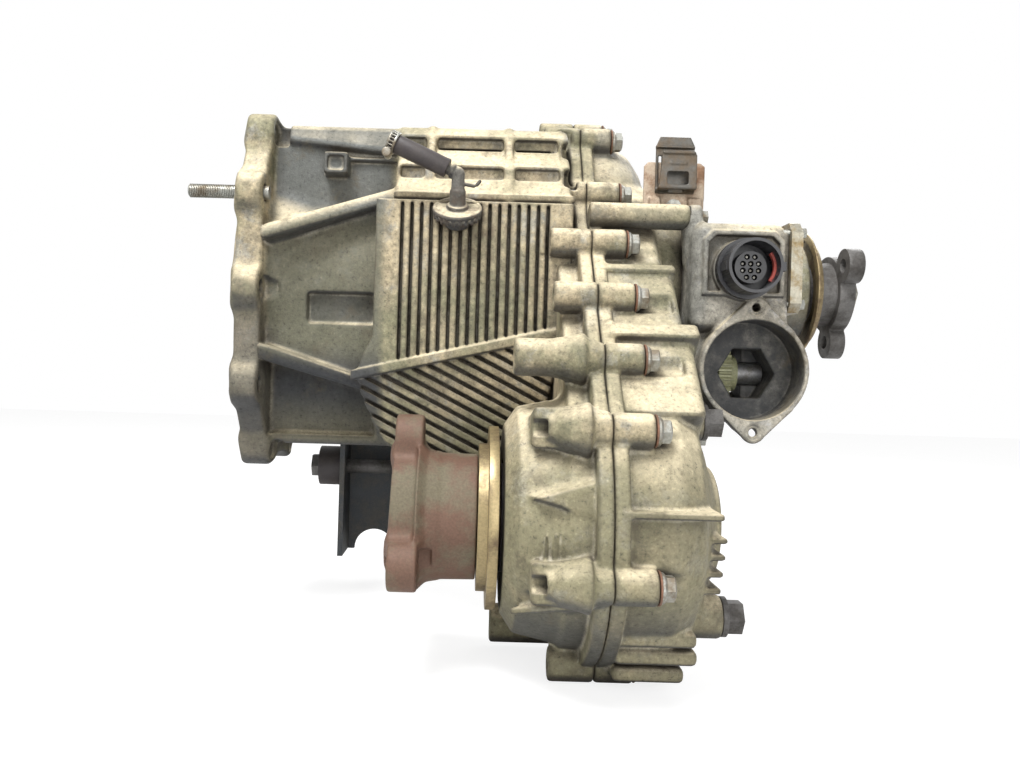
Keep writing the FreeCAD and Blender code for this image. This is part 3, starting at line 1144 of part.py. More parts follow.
def actuator_housing():
    """Gearbox of the selector drive: electronics block, gear room and the open motor seat."""
    start, end = "actuator_x", "(actuator_end - cover_thick)"
    foot = "8"
    solids = [
        box("brain_block", (start, "actuator_near", "seat_z + 34"), (end, "side_y + 14", "actuator_top")),
        box("brain_back", (start + " + 24", "side_y + 13", "seat_z + 34"),
            (end, "actuator_far - 4", "actuator_top")),
        prism("gear_block", [("actuator_near + 8", "seat_z + 36"), ("side_y + 14", "seat_z + 36"),
                             ("cam_y - 2", "cam_z + 21"), ("cam_y + 24", "cam_z - 8"),
                             ("cam_y + 30", "actuator_low"), ("actuator_near + 8", "actuator_low")],
              start, "%s - %s" % (end, start)),
        box("gear_back", (start + " + 24", "cam_y - 24", "actuator_low"),
            (end, "cam_y + 28", "cam_z + 26")),
        cylinder("seat_ring", "seat_bore + seat_wall", "seat_depth + 1", "seat_x",
                 "seat_near + seat_depth + 1", "seat_z", TO_CAMERA),
        box("seat_neck", ("seat_x - 26", "seat_near + 6", "seat_z + 20"),
            ("seat_x + 20", "side_y + 14", "seat_z + 38"))]
    for index, (y, z) in enumerate(ACTUATOR_EARS):
        solids.append(cylinder("ear_%d" % index, "9", foot, start, y, z))
    for sign in (1, -1):
        z = "seat_z + %d * ear_spacing / 2" % sign
        solids.append(cylinder("seat_ear_%d" % (sign + 1), "ear_round", "12", "seat_x",
                               "seat_near + 12", z, TO_CAMERA))
        solids.append(box("seat_ear_web_%d" % (sign + 1), ("seat_x - 9", "seat_near",
                                                           "seat_z + %d * seat_bore - 6" % sign),
                          ("seat_x + 9", "seat_near + 12", "seat_z + %d * seat_bore + 6" % sign)))
    frame_rim = box("brain_rim", (start + " + 6", "actuator_near - 2.5", "seat_z + 48"),
                    (end + " - 5", "actuator_near + 1", "actuator_top - 6"))
    frame_gap = box("brain_gap", (start + " + 9", "actuator_near - 4", "seat_z + 51"),
                    (end + " - 8", "actuator_near - 0.5", "actuator_top - 9"))
    solids += [cut("brain_frame", frame_rim, [frame_gap]),
               cylinder("plug_base", "plug_round + 3", "4", "plug_x", "actuator_near + 1", "plug_z",
                        TO_CAMERA)]
    wheel_room = "wheel_round + 2.5"
    rooms = [
        cylinder("seat_hole", "seat_bore", "seat_depth + 10", "seat_x", "seat_near + seat_depth",
                 "seat_z", TO_CAMERA),
        cylinder("wheel_room", wheel_room, "wheel_width + 14", "wheel_x - 3", "cam_y", "cam_z"),
        box("gear_window", ("wheel_x - 2", "seat_near + seat_depth - 2", "seat_z - 20"),
            ("wheel_x + wheel_width + 21", "cam_y + 12", "seat_z + 14")),
        cylinder("selector_entry", "selector_round + run_gap", "70", start + " - 1", "cam_y", "cam_z"),
        cylinder("plug_hole", "plug_round - plug_wall - 4", "20", "plug_x", "actuator_near + 12", "plug_z",
                 TO_CAMERA)]
    rooms += [cylinder("ear_hole_%d" % i, "3 + 0.3", "40", start + " - 1", y, z)
              for i, (y, z) in enumerate(ACTUATOR_EARS)]
    rooms += [cylinder("ear_clear_%d" % i, "6.5", "60", "%s + %s" % (start, foot), y, z)
              for i, (y, z) in enumerate(ACTUATOR_EARS)]
    rooms += [cylinder("motor_tap_%d" % (sign + 1), "ear_hole", "30", "seat_x", "seat_near + 16",
                       "seat_z + %d * ear_spacing / 2" % sign, TO_CAMERA) for sign in (1, -1)]
    rooms += [cylinder("cover_tap_%d" % i, "2 + fit_gap", "12", end + " - 10", y, z)
              for i, (y, z) in enumerate(COVER_SCREWS)]
    return node(cut("actuator_body", fuse("actuator_solid", solids), rooms), "actuator_housing")


COVER_SCREWS = [(y, z) for y in ("actuator_near + 6", "actuator_far - 9")
                for z in ("actuator_top - 6", "seat_z + 46")]


def actuator_cover():
    plate = prism("cover_plate", [
        ("actuator_near", "seat_z + 46"), ("actuator_near", "actuator_top - 6"),
        ("actuator_near + 7", "actuator_top + 1"), ("actuator_far - 11", "actuator_top + 1"),
        ("actuator_far - 3", "actuator_top - 7"), ("actuator_far - 3", "seat_z + 46"),
        ("actuator_far - 9", "seat_z + 40"), ("actuator_near + 6", "seat_z + 40")],
        "actuator_end - cover_thick", "cover_thick")
    hollow = box("cover_hollow", ("actuator_end - 4", "actuator_near + 14", "seat_z + 54"),
                 ("actuator_end + 1", "actuator_far - 17", "actuator_top - 14"))
    holes = [cylinder("cover_hole_%d" % i, "2.3", "20", "actuator_end - 12", y, z)
             for i, (y, z) in enumerate(COVER_SCREWS)]
    return node(cut("cover_solid", plate, [hollow] + holes), "actuator_cover")


def connector():
    """Round socket with a keyed collar, and its block of contact cavities."""
    near = "plug_near"
    base = "(actuator_near - 3)"
    length = "(%s - %s)" % (base, near)
    shell = cylinder("plug_shell", "plug_round", length, "plug_x", base, "plug_z", TO_CAMERA)
    collar = cylinder("plug_collar", "plug_round + 2.5", "6", "plug_x", base + " - 0.01", "plug_z",
                      TO_CAMERA)
    keys = [box("plug_key_%d" % i, ("plug_x + %d * (plug_round - 2) - 2.5" % sign, near + " + 4",
                                    "plug_z - 3"),
                ("plug_x + %d * (plug_round + 0.5) + 2.5" % sign, base + " - 1", "plug_z + 3"))
            for i, sign in enumerate((1, -1))]
    socket = cylinder("plug_socket", "plug_round - plug_wall", "40", "plug_x", base + " - 3", "plug_z",
                      TO_CAMERA)
    block = cylinder("contact_block", "2.05 * pin_pitch", "%s - 12" % length, "plug_x", base, "plug_z",
                     TO_CAMERA)
    cavities = [cylinder("cavity_%d" % i, "1.9", "30", x, base + " - 4", z, TO_CAMERA)
                for i, (x, z) in enumerate(CONTACTS)]
    hollow = cut("plug_hollow", fuse("plug_outer", [shell, collar] + keys), [socket])
    whole = cut("plug_solid", fuse("plug_filled", [hollow, block]), cavities)
    node(whole, "connector_shell")
    pin = Part.makeCylinder(size("contact_round"), 7, Vector(), Vector(0, -1, 0))
    spots = [(size(x), size(base) - 4, size(z)) for x, z in CONTACTS]
    node(group("contact_group", pin, spots), "connector_pins")


CONTACTS = [("plug_x + %g * pin_pitch" % column, "plug_z + %g * pin_pitch" % (row * 0.866))
            for row, columns in ((1.5, (-0.5, 0.5)), (0.5, (-1, 0, 1)), (-0.5, (-1, 0, 1)),
                                 (-1.5, (-0.5, 0.5)))
            for column in columns]


# ---------------------------------------------------------------- fasteners and small pieces

def fasteners():
    seam = [(size("seam_x") + size("rear_boss"), size(y), size(z)) for y, z in SEAM]
    node(group("seam_bolts", bolt_shape(size("bolt_round"), size("rear_boss") + size("front_boss") - 8),
               seam), "housing_bolts")
    dowel = ring(0, 16, 3)
    dowels = [(size("seam_x") - 8, size(y), size(z)) for y, z in DOWELS]
    node(group("dowel_group", dowel, dowels), "dowel_pins")
    plugs = [(size("seam_x") + size("case_depth") + 24, size(y), size(z)) for y, z in PLUGS]
    node(group("plug_group", bolt_shape(8, 22, head=9, flange=12), plugs), "oil_plugs")
    ears = [(size("actuator_x") + 8, size(y), size(z)) for y, z in ACTUATOR_EARS]
    screws = group("ear_screws", bolt_shape(3, 26, head=4.6, flange=6), ears)
    covers = [(size("actuator_end"), size(y), size(z)) for y, z in COVER_SCREWS]
    small = group("cover_screws", bolt_shape(2, 14, head=3.2, flange=4), covers)
    clip = group("clip_screw", bolt_shape(3, 14, head=4.6, flange=6),
                 [(size("clip_x"), size("clip_y"), size("clip_z"))], FreeCAD.Rotation(Vector(0, 0, 1), -90))
    every = [solid for part in (screws, small, clip) for solid in part.Shape.Solids]
    node(shaped("small_screw_group", Part.makeCompound(every)), "small_screws")
    y, z = FLANGE[8]
    stud = spun("stud_bar", [("0 - stud_reach", "0"), ("0 - stud_reach", "stud_round"),
                             ("0 - stud_relief", "stud_round"), ("0 - stud_relief", "stud_neck"),
                             ("flange_thick / 4", "stud_neck"), ("flange_thick / 4", "stud_round"),
                             ("flange_thick + 2", "stud_round"), ("flange_thick + 2", "0")], y=y, z=z)
    node(stud, "gearbox_stud")


def breather():
    """Vent cap on the finned wall, its elbow, the rubber hose and the clamp that holds it."""
    near = "side_y - fin_depth"
    cap = [cylinder("vent_neck", "9", "8", "vent_x", near + " + 1", "vent_z", TO_CAMERA),
           cylinder("vent_disc", "vent_round", "5", "vent_x", near + " - 4", "vent_z", TO_CAMERA),
           cylinder("vent_knob", "vent_round - 8", "5", "vent_x", near + " - 8", "vent_z", TO_CAMERA)]
    lift = Vector(-45, 0, 20).normalize()
    base = Vector(size("vent_x"), size("side_y") - size("fin_depth") - 10, size("vent_z"))
    elbow = Part.makeCylinder(4, 26, base, Vector(0, 0, 1))
    knee = base + Vector(0, 0, 24)
    spout = Part.makeCylinder(4, 20, knee, lift).fuse(Part.makeSphere(4, knee))
    elbow_part = shaped("vent_elbow", elbow.fuse(spout).removeSplitter())
    node(fuse("vent_whole", cap + [elbow_part]), "breather_cap")
    hose_start = knee + lift * 8
    hose = Part.makeCylinder(6.5, 44, hose_start, lift)
    inner = Part.makeCylinder(4.05, 44, hose_start, lift)
    node(shaped("vent_hose", hose.cut(inner)), "breather_hose")
    clamp_start = knee + lift * 46
    band = Part.makeCylinder(8, 6, clamp_start, lift).cut(Part.makeCylinder(6.55, 6, clamp_start, lift))
    node(shaped("vent_band", band), "hose_clamp")


def cable_bracket():
    """Pressed plate on the dome boss, and the spring clip that holds a cable on it."""
    plate = box("bracket_plate", ("clip_x - 22", "clip_y", "clip_z - 7"),
                ("clip_x + 22", "clip_y + 2.5", "clip_z + 33"))
    hole = cylinder("bracket_hole", "3.3", "20", "clip_x", "clip_y + 10", "clip_z", TO_CAMERA)
    node(cut("bracket_solid", plate, [hole]), "cable_bracket")
    near = "clip_y - 1.6"
    back = box("clip_back", ("clip_x - 14", near, "clip_z + 10"), ("clip_x + 14", "clip_y", "104"))
    lip = box("clip_lip", ("clip_x - 14", near + " - 9", "clip_z + 12"),
              ("clip_x + 14", near + " + 0.1", "clip_z + 13.6"))
    front_leaf = box("clip_leaf", ("clip_x - 14", near + " - 9", "clip_z + 12"),
                     ("clip_x + 14", near + " - 7.4", "92"))
    node(fuse("clip_whole", [back, lip, front_leaf]), "cable_clip")


def mount_bracket():
    """Channel on the far wall that carries a rubber bush on a cross bolt."""
    face = "far_y + 0.05"
    channel = [box("channel_web", ("59", face, "-233"), ("115", "far_y + 5", "-100")),
               box("channel_tab", ("body_front - 8", face, "-120"),
                   ("body_front + 24", "far_y + 5", "hip_z + 46")),
               box("channel_left", ("59", "far_y - 38", "-233"), ("63.5", "far_y + 4", "-130")),
               box("channel_right", ("110.5", "far_y - 38", "-233"), ("115", "far_y + 4", "-130"))]
    scoop = cylinder("channel_scoop", "18", "20", "87", "far_y + 12", "-233", TO_CAMERA)
    y, z = "far_y - 20", "-156"
    holes = [cylinder("channel_bolt_hole", "6.1", "80", "50", y, z)]
    holes += [cylinder("channel_tab_hole_%d" % i, "5.2", "20", x, "far_y + 12", z, TO_CAMERA)
              for i, (x, z) in enumerate(BRACKET_BOLTS)]
    node(cut("channel_solid", fuse("channel_whole", channel), [scoop] + holes), "mount_bracket")
    node(tube("bush_ring", "40", "58.9", "6.1", "17", y, z), "mount_bush")
    cross = group("cross_bolt", bolt_shape(6, 82, head=9, flange=12), [(115.1, size(y), size(z))])
    end = nut(33, 6.9, 9, 6, size(y), size(z))
    tabs = group("tab_bolts", bolt_shape(5, 11), [(size(x), size("far_y") + 5.05, size(z))
                                                  for x, z in BRACKET_BOLTS],
                 FreeCAD.Rotation(Vector(0, 0, 1), 90))
    every = cross.Shape.Solids + [end] + tabs.Shape.Solids
    node(shaped("bracket_bolt_group", Part.makeCompound(every)), "mount_bolts")


front_housing()
rear_housing()
input_shaft()
ring_gear()
planets()
planet_carrier()
planet_pins()
bearings()
seal("input_seal", "bell_depth", "input_bearing_round - 6 - fit_gap", "input_round")
seal("front_seal", "front_bearing_x - seal_width", "front_seal_round", "front_spline + 6",
     FRONT_Y, FRONT_Z)
seal("rear_seal", "neck_end - seal_width - 2", "rear_seal_round", "rear_journal + 3")
range_hub()
range_sleeve()
shift_fork()
shift_rail()
selector_shaft()
worm_wheel()
differential()
chain_drive()
lock_clutch()
rear_output()
front_output()
actuator_housing()
actuator_cover()
connector()
fasteners()
breather()
cable_bracket()
mount_bracket()
doc.recompute()

for made in doc.Objects:
    if "Invalid" in made.State or "Error" in made.State:
        raise RuntimeError("%s did not rebuild: %s" % (made.Name, made.State))
for made in nodes:
    if made.Shape.isNull() or not made.Shape.isValid() or not made.Shape.Solids:
        raise RuntimeError("%s has no valid solid" % made.Label)
os.makedirs("parts", exist_ok=True)
for made in nodes:
    made.Shape.exportStep("parts/%s.step" % made.Label)
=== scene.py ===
import bpy
import json
import math
import numpy as np
import openvdb
from mathutils import Matrix, Vector


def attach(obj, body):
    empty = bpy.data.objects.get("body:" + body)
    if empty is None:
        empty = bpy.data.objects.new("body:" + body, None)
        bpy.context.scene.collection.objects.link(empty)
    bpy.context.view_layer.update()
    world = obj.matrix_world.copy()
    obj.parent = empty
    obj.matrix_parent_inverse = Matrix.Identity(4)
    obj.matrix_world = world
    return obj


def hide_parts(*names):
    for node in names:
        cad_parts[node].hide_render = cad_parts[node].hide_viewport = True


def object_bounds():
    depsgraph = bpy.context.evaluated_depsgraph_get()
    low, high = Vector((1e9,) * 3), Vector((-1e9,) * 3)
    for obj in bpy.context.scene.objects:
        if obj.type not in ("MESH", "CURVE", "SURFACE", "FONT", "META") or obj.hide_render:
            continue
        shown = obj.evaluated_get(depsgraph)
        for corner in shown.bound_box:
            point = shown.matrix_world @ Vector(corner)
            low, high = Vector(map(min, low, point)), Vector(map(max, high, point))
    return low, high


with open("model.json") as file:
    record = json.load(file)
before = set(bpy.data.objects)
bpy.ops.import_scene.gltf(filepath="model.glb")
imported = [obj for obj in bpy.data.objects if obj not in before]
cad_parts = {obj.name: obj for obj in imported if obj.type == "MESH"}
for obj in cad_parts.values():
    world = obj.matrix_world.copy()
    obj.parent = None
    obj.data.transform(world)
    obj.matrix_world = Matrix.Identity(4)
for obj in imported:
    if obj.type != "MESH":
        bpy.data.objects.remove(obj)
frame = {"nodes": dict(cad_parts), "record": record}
CAD_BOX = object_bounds()
MM = 0.001
NODES = frame["nodes"]

# -------------------- casting kit (mm)
# A form is its low corner, its high corner and a function that gives the distance to its surface.

FAR = 30.0
ROUNDED = 1.5
SHARP = 0.1
BIG_STEP = 1.15
SMALL_STEP = 0.8


def outline_distance(u, v, points):
    """Signed distance in a plane to a closed outline, negative inside."""
    best = np.full(np.broadcast(u, v).shape, 1e9, np.float32)
    inside = np.zeros(best.shape, bool)
    for (ax, ay), (bx, by) in zip(points, points[1:] + points[:1]):
        ex, ey = bx - ax, by - ay
        t = np.clip(((u - ax) * ex + (v - ay) * ey) / (ex * ex + ey * ey + 1e-9), 0, 1)
        best = np.minimum(best, (u - ax - t * ex) ** 2 + (v - ay - t * ey) ** 2)
        if ay != by:
            inside ^= ((v >= ay) != (v >= by)) & (u < ex * (v - ay) / ey + ax)
    return np.where(inside, -1, 1) * np.sqrt(best).astype(np.float32)


def eased(a, b, ease):
    """Where two distances bound a form, their edge rounded by ease."""
    a, b = a + ease, b + ease
    return np.minimum(np.maximum(a, b), 0) + np.hypot(np.maximum(a, 0), np.maximum(b, 0)) - ease


def rod(a, b, r, r2=None, ease=ROUNDED):
    """A cylinder or cone between two points."""
    a, b = np.array(a, float), np.array(b, float)
    length = np.linalg.norm(b - a)
    u = (b - a) / length
    r2 = r if r2 is None else r2
    wide = max(r, r2)

    def distance(x, y, z):
        t = (x - a[0]) * u[0] + (y - a[1]) * u[1] + (z - a[2]) * u[2]
        square = (x - a[0]) ** 2 + (y - a[1]) ** 2 + (z - a[2]) ** 2 - t * t
        side = np.sqrt(np.maximum(square, 0)) - (r + (r2 - r) * np.clip(t / length, 0, 1))
        return eased(side, np.abs(t - length / 2) - length / 2, ease)
    return np.minimum(a, b) - wide, np.maximum(a, b) + wide, distance


def bar(start, end, centre, r, r2=None, ease=ROUNDED):
    """A rod along X about a centre (y, z)."""
    return rod((start, *centre), (end, *centre), r, r2, ease)


def ball(centre, r):
    c = np.array(centre, float)

    def distance(x, y, z):
        return np.sqrt((x - c[0]) ** 2 + (y - c[1]) ** 2 + (z - c[2]) ** 2) - r
    return c - r, c + r, distance


def block(low, high, ease=ROUNDED):
    """A box between two corners."""
    low, high = np.array(low, float), np.array(high, float)
    c, half = (low + high) / 2, (high - low) / 2

    def distance(*p):
        q = [np.abs(p[i] - c[i]) - half[i] + ease for i in range(3)]
        out = np.sqrt(sum(np.maximum(k, 0) ** 2 for k in q))
        return out + np.minimum(np.maximum(np.maximum(q[0], q[1]), q[2]), 0) - ease
    return low, high, distance


def plate(axis, points, start, end, ease=ROUNDED):
    """An outline pushed along X (points y, z), Y (points x, z) or Z (points x, y)."""
    k = "XYZ".index(axis)
    others = [i for i in range(3) if i != k]
    flat = np.array(points, float)
    low, high = np.zeros(3), np.zeros(3)
    low[k], high[k] = start, end
    low[others], high[others] = flat.min(0), flat.max(0)

    def distance(*p):
        side = outline_distance(p[others[0]], p[others[1]], points)
        return eased(side, np.abs(p[k] - (start + end) / 2) - (end - start) / 2, ease)
    return low, high, distance


def lathe(points, y=0, z=0):
    """A turned form about an axis along X: points are (x, radius)."""
    flat = np.array(points, float)
    wide = flat[:, 1].max()
    mirrored = points + [(x, -r) for x, r in reversed(points) if r > 0]
    fine = 0.5

    def distance(px, py, pz):
        radius = np.hypot(py - y, pz - z)
        samples = np.arange(0, radius.max() + 2 * fine, fine, dtype=np.float32)
        table = outline_distance(px.reshape(-1, 1), samples.reshape(1, -1), mirrored)
        place = radius[0] / fine
        cell = place.astype(np.int32)
        part = (place - cell).astype(np.float32)
        return table[:, cell] * (1 - part) + table[:, cell + 1] * part
    low = np.array([flat[:, 0].min(), y - wide, z - wide])
    high = np.array([flat[:, 0].max(), y + wide, z + wide])
    return low, high, distance


def linked(name, data):
    made = bpy.data.objects.new(name, data)
    bpy.context.scene.collection.objects.link(made)
    return made


class Cast:
    """A cast shape, held as distances on a grid, whose forms flow into each other."""

    def __init__(self, low, high, step):
        self.step = step
        self.low = np.array(low, float)
        count = np.ceil((np.array(high) - self.low) / step).astype(int) + 1
        self.axes = [(self.low[i] + step * np.arange(count[i])).astype(np.float32) for i in range(3)]
        self.field = np.full(count, FAR, np.float32)

    def region(self, low, high, margin):
        spans = []
        for i in range(3):
            a = np.searchsorted(self.axes[i], low[i] - margin)
            b = np.searchsorted(self.axes[i], high[i] + margin)
            spans.append(slice(a, b))
        x, y, z = (self.axes[i][spans[i]] for i in range(3))
        return tuple(spans), x[:, None, None], y[None, :, None], z[None, None, :]

    def join(self, shape, blend, sign):
        """Joins a form (sign 1) or takes it away (sign -1), with a fillet of about blend."""
        low, high, distance = shape
        spans, x, y, z = self.region(low, high, blend + 3 * self.step)
        if 0 in self.field[spans].shape:
            return
        old, new = sign * self.field[spans], distance(x, y, z)
        near = np.maximum(blend - np.abs(old - new), 0) / blend
        self.field[spans] = sign * (np.minimum(old, new) - near * near * blend / 4)

    def add(self, shape, blend=3.0):
        self.join(shape, blend, 1)

    def cut(self, shape, blend=1.0):
        self.join(shape, blend, -1)

    def bore(self, start, end, r, y=0, z=0):
        """A machined bore along X."""
        self.cut(bar(start, end, (y, z), r, ease=SHARP))

    def bores(self, table):
        for bore in table.values():
            self.bore(*bore)

    def blur(self):
        for axis in range(3):
            f = np.moveaxis(self.field, axis, 0)
            f[1:-1] = f[1:-1] * 0.5 + (f[:-2] + f[2:]) * 0.25

    def piece(self, name, share=1.0):
        """The surface as a mesh object, thinned to a share of its faces."""
        clipped = np.clip(self.field, -3 * self.step, 3 * self.step)
        grid = openvdb.FloatGrid(3 * self.step)
        grid.copyFromArray(clipped)
        points, quads = grid.convertToQuads(isovalue=0.0)
        points = (points * self.step + self.low) * MM
        mesh = bpy.data.meshes.new(name)
        mesh.vertices.add(len(points))
        mesh.vertices.foreach_set("co", points.astype(np.float32).ravel())
        mesh.loops.add(quads.size)
        mesh.loops.foreach_set("vertex_index", quads[:, ::-1].astype(np.int32).ravel())
        mesh.polygons.add(len(quads))
        mesh.polygons.foreach_set("loop_start", np.arange(0, quads.size, 4, dtype=np.int32))
        mesh.polygons.foreach_set("use_smooth", np.ones(len(quads), bool))
        mesh.update(calc_edges=True)
        mesh.validate()
        made = linked(name, mesh)
        if share < 1:
            thin = made.modifiers.new("thin", "DECIMATE")
            thin.ratio = share
        return made


# -------------------- measures (mm)

# shafts: the input and rear output run along X through the origin, the front output beside them
CHAIN_LINKS, TEETH, PITCH = 62, 27, 12.7
CENTRES = (CHAIN_LINKS - TEETH) * PITCH / 2
TILT = math.radians(43.2)
FRONT = (-CENTRES * math.sin(TILT), -CENTRES * math.cos(TILT))
FRONT_Y, FRONT_Z = FRONT
SIDE_Y, SIDE_Z = -math.cos(TILT), math.sin(TILT)
CAM = (-58, -66)
FORK_RAIL = (-20, -86)

# joint of the two housings
SEAM_X = 250
LIP = 9
RIM = 88
BULGE = (38, 38)
BULGE_RIM = 92
CHAIN_ROOM = 66.5
BOLT_SEAT = 274
BOLT_HOLE = 4.6
SEAM_BOSS = 10
PAST_SEAM = SEAM_X + 6

# gearbox flange, bell and gear case
FLANGE_BACK = 20
FLANGE_SPREAD, FLANGE_BOSS, FLANGE_HOLE, SPOT_FACE = 1.06, 14, 5.6, 9.5
BELL_END = 113
CASE_END = 238

# screws and seats of what is fitted on
ACTUATOR_SCREWS = [(-88, 42), (-100, -112), (-60, -114)]
ACTUATOR_FOOT = 320
SCREW_BOSS = 9
PLUG_BOSS, PLUG_HOLE = 13, 8.6
OIL_PLUGS = [(FRONT_Y - 26, FRONT_Z - 52), (FRONT_Y + 30, FRONT_Z + 62)]
BRACKET_X, BRACKET_Z = 314, 53
SEAT_X, SEAT_Z = 363, -64
SEAT_WALL, SEAT_BORE, EAR, EAR_OUT = 37.5, 34, 7.5, 42.5
SOCKET_X, SOCKET_Z = 354, 4

# vent hose: it leaves the cap's knee and rises along the bell
KNEE = np.array((158.0, -111, 63))
HOSE_RUN = np.array((-45, 0, 20)) / math.hypot(45, 20)


def around(radius, degrees, y=0, z=0):
    """A point on a circle about an axis along X."""
    angle = math.radians(degrees)
    return y + radius * math.cos(angle), z + radius * math.sin(angle)


def flank(share, out):
    """A point off the near flank: share runs down the line of the shafts, out stands off it."""
    return share * FRONT_Y + out * SIDE_Y, share * FRONT_Z + out * SIDE_Z


def seam_points():
    points = [flank(share, RIM) for share in (0, 0.25, 0.5, 0.75, 1)]
    points += [flank(share, -RIM) for share in (0.35, 0.7)]
    points += [around(RIM, degrees, *FRONT) for degrees in (195, 258, 310)]
    return points + [around(BULGE_RIM, degrees, *BULGE) for degrees in (-20, 20, 58, 92, 126)]


SEAM = seam_points()
HALF = [(44, 104), (72, 54), (76, -15), (72, -84), (34, -131)]
FLANGE = HALF + [(-y, z) for y, z in reversed(HALF)]
STUD = FLANGE[8]


def rail(radius):
    """Corners of the straight-sided plate between the two axes."""
    return [flank(0, radius), flank(1, radius), flank(1, -radius), flank(0, -radius)]


def stadium(cast, radius, start, end, blend, ease=ROUNDED):
    """A form round both axes, with straight sides between them."""
    cast.add(plate("X", rail(radius), start, end, ease), blend)
    cast.add(bar(start, end, (0, 0), radius, ease=ease), blend)
    cast.add(bar(start, end, FRONT, radius, ease=ease), blend)


def stadium_cut(cast, radius, start, end):
    cast.cut(plate("X", rail(radius), start, end, SHARP))
    cast.bore(start, end, radius)
    cast.bore(start, end, radius, *FRONT)


def rim(cast, start, end):
    """Joint flange round both shafts and the bulge."""
    stadium(cast, RIM, start, end, 2, 1.0)
    cast.add(bar(start, end, BULGE, BULGE_RIM, ease=1.0), 2)


# -------------------- front housing

CORE = [(0, 0), (0, 72), (FLANGE_BACK, 72), (50, 66), (117, 70), (117, 0)]
BELL = [(-90, -58), (-90, 20), (-46, 108), (70, 108), (88, -64), (44, -128), (-42, -128)]
# pockets of the bell: outline in X and Z, first and last Y
BELL_POCKETS = [([(20, 18), (113, 50), (113, -76), (89, -76), (20, -54)], -112, -62),
                ([(20, 30), (113, 62), (113, 88), (20, 98)], -128, -46),
                ([(20, -66), (99, -88), (99, -120), (20, -120)], -118, -38),
                ([(20, 82), (113, 82), (113, -50), (20, -50)], 30, 122),
                ([(20, -60), (105, -60), (105, -120), (20, -120)], 24, 122)]
CASE = [(-92, -64), (-92, 48), (-78, 66), (-76, 75), (-56, 91), (-53, 104), (-44, 112), (78, 114),
        (100, 90), (100, -64), (58, -122), (-56, -128)]
CASE_WALL = 11
BELL_ROOM = [(-6, 0), (-6, 62), (76, 52), (76, 0)]
DRUM = [(192, 0), (192, 58), (194, 61), (200, 70), (218, 74), (246, 77), (246, 0)]

# stepped panels: X and foot of each post, first and last X of each row's pockets
POSTS = ((137, 78), (194, 44), (234, 44))
POST_HALF = 3
PANELS = ((116, 133), (141, 190), (198, 230))
# seam bosses by number: those with a cone in front, and those with a gusset and its reach
CONES = (3, 4, 7)
GUSSETS = ((4, 34), (5, 26), (7, 30))
# pockets between the upper seam bosses: Y and Z
SEAM_POCKETS = ((-62, 62), (-44, 86), (-26, 104))
DRUM_RIBS, DRUM_RIB_PITCH = 7, 5.2
# bores: first X, last X, radius, then the axis where it isn't the main one
INPUT_BORES = {"pilot": (-5, 6, 64), "input seal": (75, 86, 30.6), "input bearing": (84, 104, 36.6),
               "ring gear": (100, 128, 60.6)}
SHIFT_BORES = {"differential": (224, PAST_SEAM, 62), "selector": (224, PAST_SEAM, 12, *CAM),
               "selector bush": (120, 136, 8.6, *CAM), "rail bush": (118, PAST_SEAM, 7.6, *FORK_RAIL)}
FRONT_BORES = {"front seal": (188, 200, 34.6, *FRONT), "front bearing": (198.5, 218, 42.6, *FRONT),
               "front shaft": (203, PAST_SEAM, 34, *FRONT)}


def inset(points, wall):
    """The outline drawn in towards its middle."""
    middle = np.mean(points, axis=0)
    rays = np.array(points) - middle
    return [tuple(middle + ray * (1 - wall / np.linalg.norm(ray))) for ray in rays]


def front_housing():
    """Wavy flange, open bell, gear case and drum, joined to the rear housing at the seam."""
    cast = Cast((-4, -258, -262), (254, 139, 144), BIG_STEP)
    bell(cast)
    gear_case(cast)
    front_bosses(cast)
    panels(cast)
    front_ribs(cast)
    rim(cast, SEAM_X - LIP, SEAM_X)
    front_rooms(cast)
    cast.blur()
    return cast.piece("front_casting")


def bell(cast):
    """Wavy flange with a boss round each hole, and the bell behind it with its pockets."""
    outline = [(y * FLANGE_SPREAD, z * FLANGE_SPREAD) for y, z in FLANGE]
    cast.add(plate("X", outline, 0, FLANGE_BACK), 2)
    for spot in FLANGE:
        cast.add(bar(0, FLANGE_BACK, spot, FLANGE_BOSS, ease=2), 10)
    cast.add(lathe(CORE), 6)
    cast.add(plate("X", BELL, FLANGE_BACK - 1, BELL_END + 2, 2), 3)
    for pocket, first, last in BELL_POCKETS:
        cast.cut(plate("Y", pocket, first, last, 4), 5)
    cast.add(lathe(CORE), 8)
    cast.add(block((19, -44, 102), (114, 78, 111), 2), 4)


def gear_case(cast):
    """Stepped case of the planetary set, body of the seam, drum round the front output."""
    cast.add(plate("X", CASE, BELL_END, CASE_END, 2.5), 4)
    stadium(cast, 77, 228, SEAM_X, 5)
    cast.add(bar(230, SEAM_X, BULGE, 81), 5)
    cast.add(lathe(DRUM, *FRONT), 6)
    for spot in SEAM:
        cast.add(bar(222, SEAM_X, spot, SEAM_BOSS), 6)


def front_bosses(cast):
    """The long bosses of the seam's near side and the one under the drum."""
    cast.add(bar(196, 244, SEAM[3], 11.5), 5)
    cast.add(bar(188, SEAM_X, (FRONT_Y + 50, FRONT_Z - 80), 13), 5)
    for k in CONES:
        cast.add(bar(204, CASE_END, SEAM[k], 2, 16), 5)


